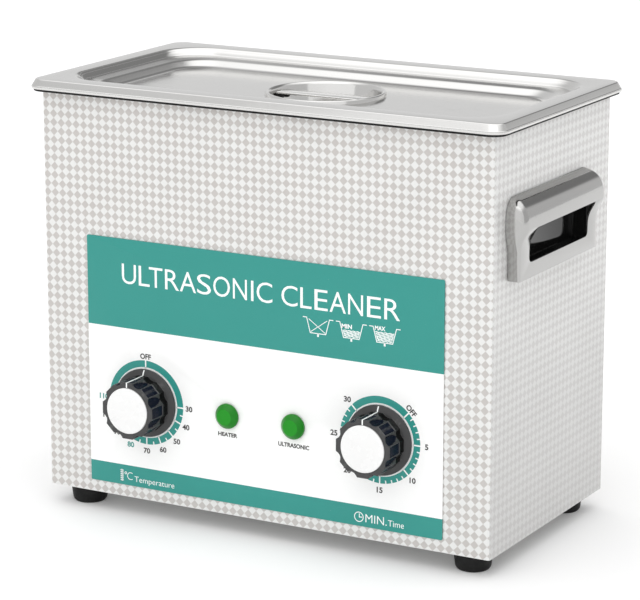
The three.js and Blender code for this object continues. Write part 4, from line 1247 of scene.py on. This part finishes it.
def make_power_inlet():
    """A three-pin mains inlet in a screwed flange."""
    low, high = corners("power_inlet")
    face = high.y
    x, z = centre("power_inlet").x, centre("power_inlet").z
    deep = 17
    flange = block(low.x, high.x, face - 2.6, face, low.z, high.z, 2.5, "Y")
    outline = soften([(-12, -8), (12, -8), (12, 4.5), (8.5, 8), (-8.5, 8), (-12, 4.5)], 1.0, 3, closed=True)
    socket = prism([(x + u, z + w) for u, w in outline], face - deep, face + 1, "Y")
    screws_x = (-20, 20)
    holes = [move(rod(1.7, -4, 1, segments=24), x + dx, face, z) for dx in screws_x]
    whole = cut_form(cut_form(flange, joined(*holes)), block(x - 12, x + 12, low.y, face + 2, z - 8, z + 8))
    ring = cut_form(block(x - 14, x + 14, low.y, face, z - 10, z + 10, 1.5, "Y"), socket)
    make("mains_socket", joined(whole, ring), gloss_black,
         replaces="power_inlet", edge=0.2)
    pins = [
        block(x + dx - 1, x + dx + 1, face - deep - 0.5, face - 3.5, z + dz - 2, z + dz + 2, 0.6, "Y")
        for dx, dz in ((-7, -1.5), (0, 2.5), (7, -1.5))
    ]
    make("mains_socket_pins", joined(*pins), nickel, edge=0.15)
    heads = [move(screw_head(2.8, 0.9, 1.5), x + dx, face - 0.9, z) for dx in screws_x]
    make("mains_socket_screws", joined(*heads), steel_plain)


def make_fuse_holder():
    low, high = corners("fuse_holder")
    spot = centre("fuse_holder")
    back = corners("rear_plate")[1].y + GAP
    barrel, collar = 6, 8.6
    profile = soften([
        (0, low.y), (barrel, low.y), (barrel, back), (collar, back), (collar, back + 2), (6.2, back + 2),
        (5.6, high.y), (0, high.y),
    ], [0, 0.3, 0.2, 0.2, 0.6, 0.3, 0.7, 0], 4)
    cap = lathe(profile, "Y", 64)
    slot = block(-5, 5, high.y - 1, high.y + 1, -0.7, 0.7)
    flutes = []
    count, reach = 18, 6.1
    for i in range(count):
        groove = rod(0.42, back + 3, high.y + 1, segments=12)
        angle = 2 * math.pi * i / count
        flutes.append(move(groove, reach * math.cos(angle), 0, reach * math.sin(angle)))
    shape = cut_form(cut_form(cap, slot), joined(*flutes))
    make("fuse_cap", move(shape, spot.x, 0, spot.z), gloss_black,
         replaces="fuse_holder")


def make_switch():
    """The rocker, and the bezel that it tilts in."""
    low, high = corners("switch_frame")
    x, z = centre("switch_frame").x, centre("switch_frame").z
    face = high.y
    back = face - 2
    bezel = block(low.x, high.x, back, face, low.z, high.z, 1.5, "Y")
    box = block(x - 10.5, x + 10.5, low.y, face, z - 7.5, z + 7.5, 1, "Y")
    well, through = (
        block(x - 10, x + 10, back - depth, face + 2, z - 7, z + 7) for depth in (9, 1)
    )
    make("rocker_frame", joined(cut_form(bezel, through), cut_form(box, well)), gloss_black,
         replaces="switch_frame", edge=0.25)

    tilt = 8
    reach, half, mark_at = 5.8, 9.5, 3.1
    outline = soften([(-reach, -2), (reach, -2), (reach, 3.4), (0, 2.4), (-reach, 3.4)],
                     [0.2, 0.2, 0.8, 2.5, 0.8], 5, closed=True)
    rocker = prism([(w, v) for v, w in outline], -half, half, "X")
    marks = []
    bar = block(-0.35, 0.35, 0, 0.12, -1.5, 1.5)
    ring = lathe([(1.1, 0), (1.6, 0), (1.6, 0.12), (1.1, 0.12)], "Y", 32, closed=True)
    slope = math.degrees(math.atan2(1.0, reach))
    for shape, level, lean in ((bar, mark_at, slope), (ring, -mark_at, -slope)):
        marks.append(move(spin(shape, lean, "X"), 0, 2.4 + mark_at / reach + 0.02, level))
    for form in (rocker, *marks):
        spin(form, -tilt, "X")
        move(form, x, back, z)
    make("rocker_cap", rocker, red_plastic, body="power_rocker",
         replaces="switch_rocker", edge=0.3)
    make("rocker_marks", joined(*marks), ink_white, body="power_rocker")


def six_points(radius, start=0):
    turns = (math.radians(60 * i + start) for i in range(6))
    return [(radius * math.cos(t), radius * math.sin(t)) for t in turns]


def make_drain():
    """The ball valve with its threaded spout, hexagon ends, stem nut and sleeved lever."""
    low, high = corners("drain_valve")
    x, z = centre("drain_pipe").x, DRAIN_HEIGHT
    front, reach = low.y, high.y
    flat = 11.4

    def hexagon(start, end):
        points = six_points(flat / math.cos(math.pi / 6), 30)
        return prism([(x + u, z + w) for u, w in points], start, end, "Y")

    body = lathe(soften([
        (0, front + 0.3), (11.2, front + 0.3), (11.2, front + 5), (10, front + 8), (10, front + 20),
        (11.2, front + 22), (11.2, front + 26), (7.4, front + 27), (7.4, reach - 1), (6.6, reach),
        (4.6, reach), (4.6, front + 22), (0, front + 22),
    ], [0, 0.3, 1.5, 1.0, 1.0, 0.4, 0.4, 0.3, 0.3, 0.3, 0.3, 0.3, 0], 4), "Y", 72)
    threads = []
    for i in range(7):
        y = front + 29 + i * 2.0
        crest = soften([(7.0, y), (7.0, y + 1.5), (7.95, y + 0.75)], 0.1, 2, closed=True)
        threads.append(lathe(crest, "Y", 64, closed=True))
    boss_profile = [(0, 6), (6, 6), (6, 12.5), (4.5, 13.5), (0, 13.5)]
    boss = lathe(soften(boss_profile, [0, 0.2, 0.5, 0.5, 0], 4), "Z", 48)
    whole = [move(form, x, 0, z) for form in [body, *threads]]
    pivot_y = front + 14
    whole.append(move(boss, x, pivot_y, z))
    whole += [hexagon(front, front + 7), hexagon(front + 21, front + 26.6)]
    make("drain_cock", joined(*whole), brass, replaces="drain_valve", edge=0.25)

    lever_low, lever_high = corners("drain_lever")
    base = lever_low.z
    edge = [(-6, -4.2), (-14, -3.6), (-40, -3.9), (-44, -4.4), (-48.4, -2.5)]
    plate = edge + [(u, -w) for u, w in reversed(edge)]
    arm = prism(soften(plate, 2.0, 4, closed=True), base, base + 2.4)
    hub = lathe(soften([(0, base), (7, base), (7, base + 3), (0, base + 3)], [0, 0.3, 0.6, 0], 3), "Z", 48)
    make("drain_arm", move(joined(arm, hub), x, pivot_y), red_plastic, body="drain_handle",
         replaces="drain_lever", edge=0.35)
    nut = prism(six_points(3.6), base + 2.6, base + 5.4)
    stud = lathe(soften([(0, base + 2), (1.9, base + 2), (1.9, lever_high.z - 0.3), (1.4, lever_high.z),
                         (0, lever_high.z)], [0, 0, 0.2, 0.2, 0], 3), "Z", 32)
    make("drain_nut", move(joined(nut, stud), x, pivot_y), steel_plain, body="drain_handle",
         edge=0.25)


# ------------------------------------------------------------------ carried-over CAD nodes
SLOT_FINISH = {
    "patterned_steel": steel_pattern, "polished_steel": steel_lid, "plain_steel": steel_plain,
    "rubber": black_rubber, "printed_overlay": film_teal, "knob_plastic": knob_grey,
    "cap_plastic": cap_white, "black_plastic": gloss_black, "green_lens": lens_green,
    "aluminium": aluminium, "ceramic": ceramic, "silicone": silicone, "circuit_board": board_green,
    "brass": brass, "red_plastic": red_plastic,
}
CARRIED_SLOT = {
    "base_plate": "plain_steel", "foot_screw": "plain_steel", "temperature_shaft": "plain_steel",
    "timer_shaft": "plain_steel", "thermostat": "black_plastic", "timer": "plain_steel",
    "heater_lamp_holder": "black_plastic", "ultrasonic_lamp_holder": "black_plastic",
    "generator_board": "circuit_board", "board_standoff": "brass", "heat_sink": "aluminium",
    "output_transformer": "ceramic", "drain_pipe": "plain_steel", "front_heater_pad": "silicone",
    "rear_heater_pad": "silicone", "front_mass": "aluminium", "piezo_stack": "ceramic",
    "back_mass": "plain_steel", "bolt": "plain_steel",
}


def finish_carried_nodes():
    """Gives each CAD node that still shows its finish, and smooths its turned faces."""
    for name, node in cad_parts.items():
        if node.hide_render:
            continue
        known = [key for key in CARRIED_SLOT if name == key or name.startswith(key) or name.endswith(key)]
        slot = CARRIED_SLOT[max(known, key=len)]
        node.data.materials.clear()
        node.data.materials.append(SLOT_FINISH[slot])
        for face in node.data.polygons:
            face.use_smooth = True
        weld = node.modifiers.new("weld", "WELD")
        weld.merge_threshold = 0.01 * MM
        split = node.modifiers.new("creases", "EDGE_SPLIT")
        split.split_angle = math.radians(32)


make_casing()
make_feet()
make_tank()
make_gasket()
make_lid()
make_lid_bar()
make_panel()
make_print()
for control in ("temperature", "timer"):
    make_control(control)
for lamp in ("heater_lamp", "ultrasonic_lamp"):
    make_lamp(lamp)
for hand, direction in (("right", 1), ("left", -1)):
    make_handle(hand, direction)
    make_finger_cup(hand, direction)
make_rear_plate()
make_power_inlet()
make_fuse_holder()
make_switch()
make_drain()
finish_carried_nodes()


# ------------------------------------------------------------------ floor, light and camera
def make_floor():
    """A wide pale floor, lifted a little towards white."""
    form = bmesh.new()
    reach = 12.0
    for x, y in ((-reach, -reach), (reach, -reach), (reach, reach), (-reach, reach)):
        form.verts.new((x, y, 0))
    form.faces.new(form.verts)
    mesh = bpy.data.meshes.new("floor")
    form.to_mesh(mesh)
    form.free()
    material = bpy.data.materials.new("floor")
    material.use_nodes = True
    values = {
        "Base Color": grey(0.86), "Emission Color": grey(1.0), "Emission Strength": 0.10,
        "Roughness": 0.8, "Specular IOR Level": 0.1,
    }
    for socket, value in values.items():
        material.node_tree.nodes["Principled BSDF"].inputs[socket].default_value = value
    mesh.materials.append(material)
    floor = placed("floor", mesh)


def make_studio():
    """A bright even room, a little dimmer to the right, and a soft sun in front.

    A soft box is overhead. Behind stands a dark card with a lit slot in it, which the lid mirrors.
    """
    world = bpy.data.worlds.new("studio")
    bpy.context.scene.world = world
    world.use_nodes = True
    room = Tree(world.node_tree)
    direction = room.node("TexCoord").outputs["Generated"]
    overhead = room.ramp(room.axes(direction)[2], 0.60, 0.88, 0.80, 1.65)
    card_middle = (0.0, 0.80, 0.50)
    card_reach = (0.48, 0.60, 0.30)
    offset = room.node("VectorMath", {0: direction, 1: card_middle}, operation="SUBTRACT").outputs[0]
    from_card = room.node("VectorMath", {
        0: offset, 1: tuple(1 / reach for reach in card_reach),
    }, operation="MULTIPLY").outputs[0]
    distance = room.node("VectorMath", {0: from_card}, operation="LENGTH").outputs["Value"]
    card = room.ramp(distance, 0.82, 1.25, 0.36, 1.0)
    from_slot = room.math("ABSOLUTE", room.math("ADD", room.axes(direction)[0], 0.10))
    lit = room.math("MAXIMUM", card, room.ramp(from_slot, 0.0, 0.07, 0.95, 0.0))
    right = room.ramp(room.axes(direction)[0], 0.2, 0.9, 1.0, 0.88)
    background = world.node_tree.nodes["Background"]
    strength = room.math("MULTIPLY", room.math("MULTIPLY", overhead, lit), right)
    room.put(background.inputs["Strength"], strength)
    background.inputs["Color"].default_value = grey(1.0)
    sun = bpy.data.lights.new("sun", "SUN")
    sun.energy = 0.76
    sun.angle = math.radians(100)
    holder = placed("sun", sun)
    holder.rotation_mode = "QUATERNION"
    holder.rotation_quaternion = Vector((0.25, -0.9, 0.36)).to_track_quat("Z", "Y")


def make_camera():
    azimuth, elevation = math.radians(29.25), math.radians(13.97)
    camera = bpy.data.cameras.new("camera")
    camera.lens = 161.9
    camera.sensor_width = 36
    camera.clip_start, camera.clip_end = 0.1, 60
    holder = placed("camera", camera)
    holder.location = TO_ROW @ Vector((852.3, -1529.0, 569.3))
    level = math.cos(elevation)
    back = Vector((math.sin(azimuth) * level, -math.cos(azimuth) * level, math.sin(elevation)))
    holder.rotation_mode = "QUATERNION"
    holder.rotation_quaternion = (-back).to_track_quat("-Z", "Y")
    bpy.context.scene.camera = holder


make_floor()
make_studio()
make_camera()
bpy.context.scene.view_settings.view_transform = "Standard"
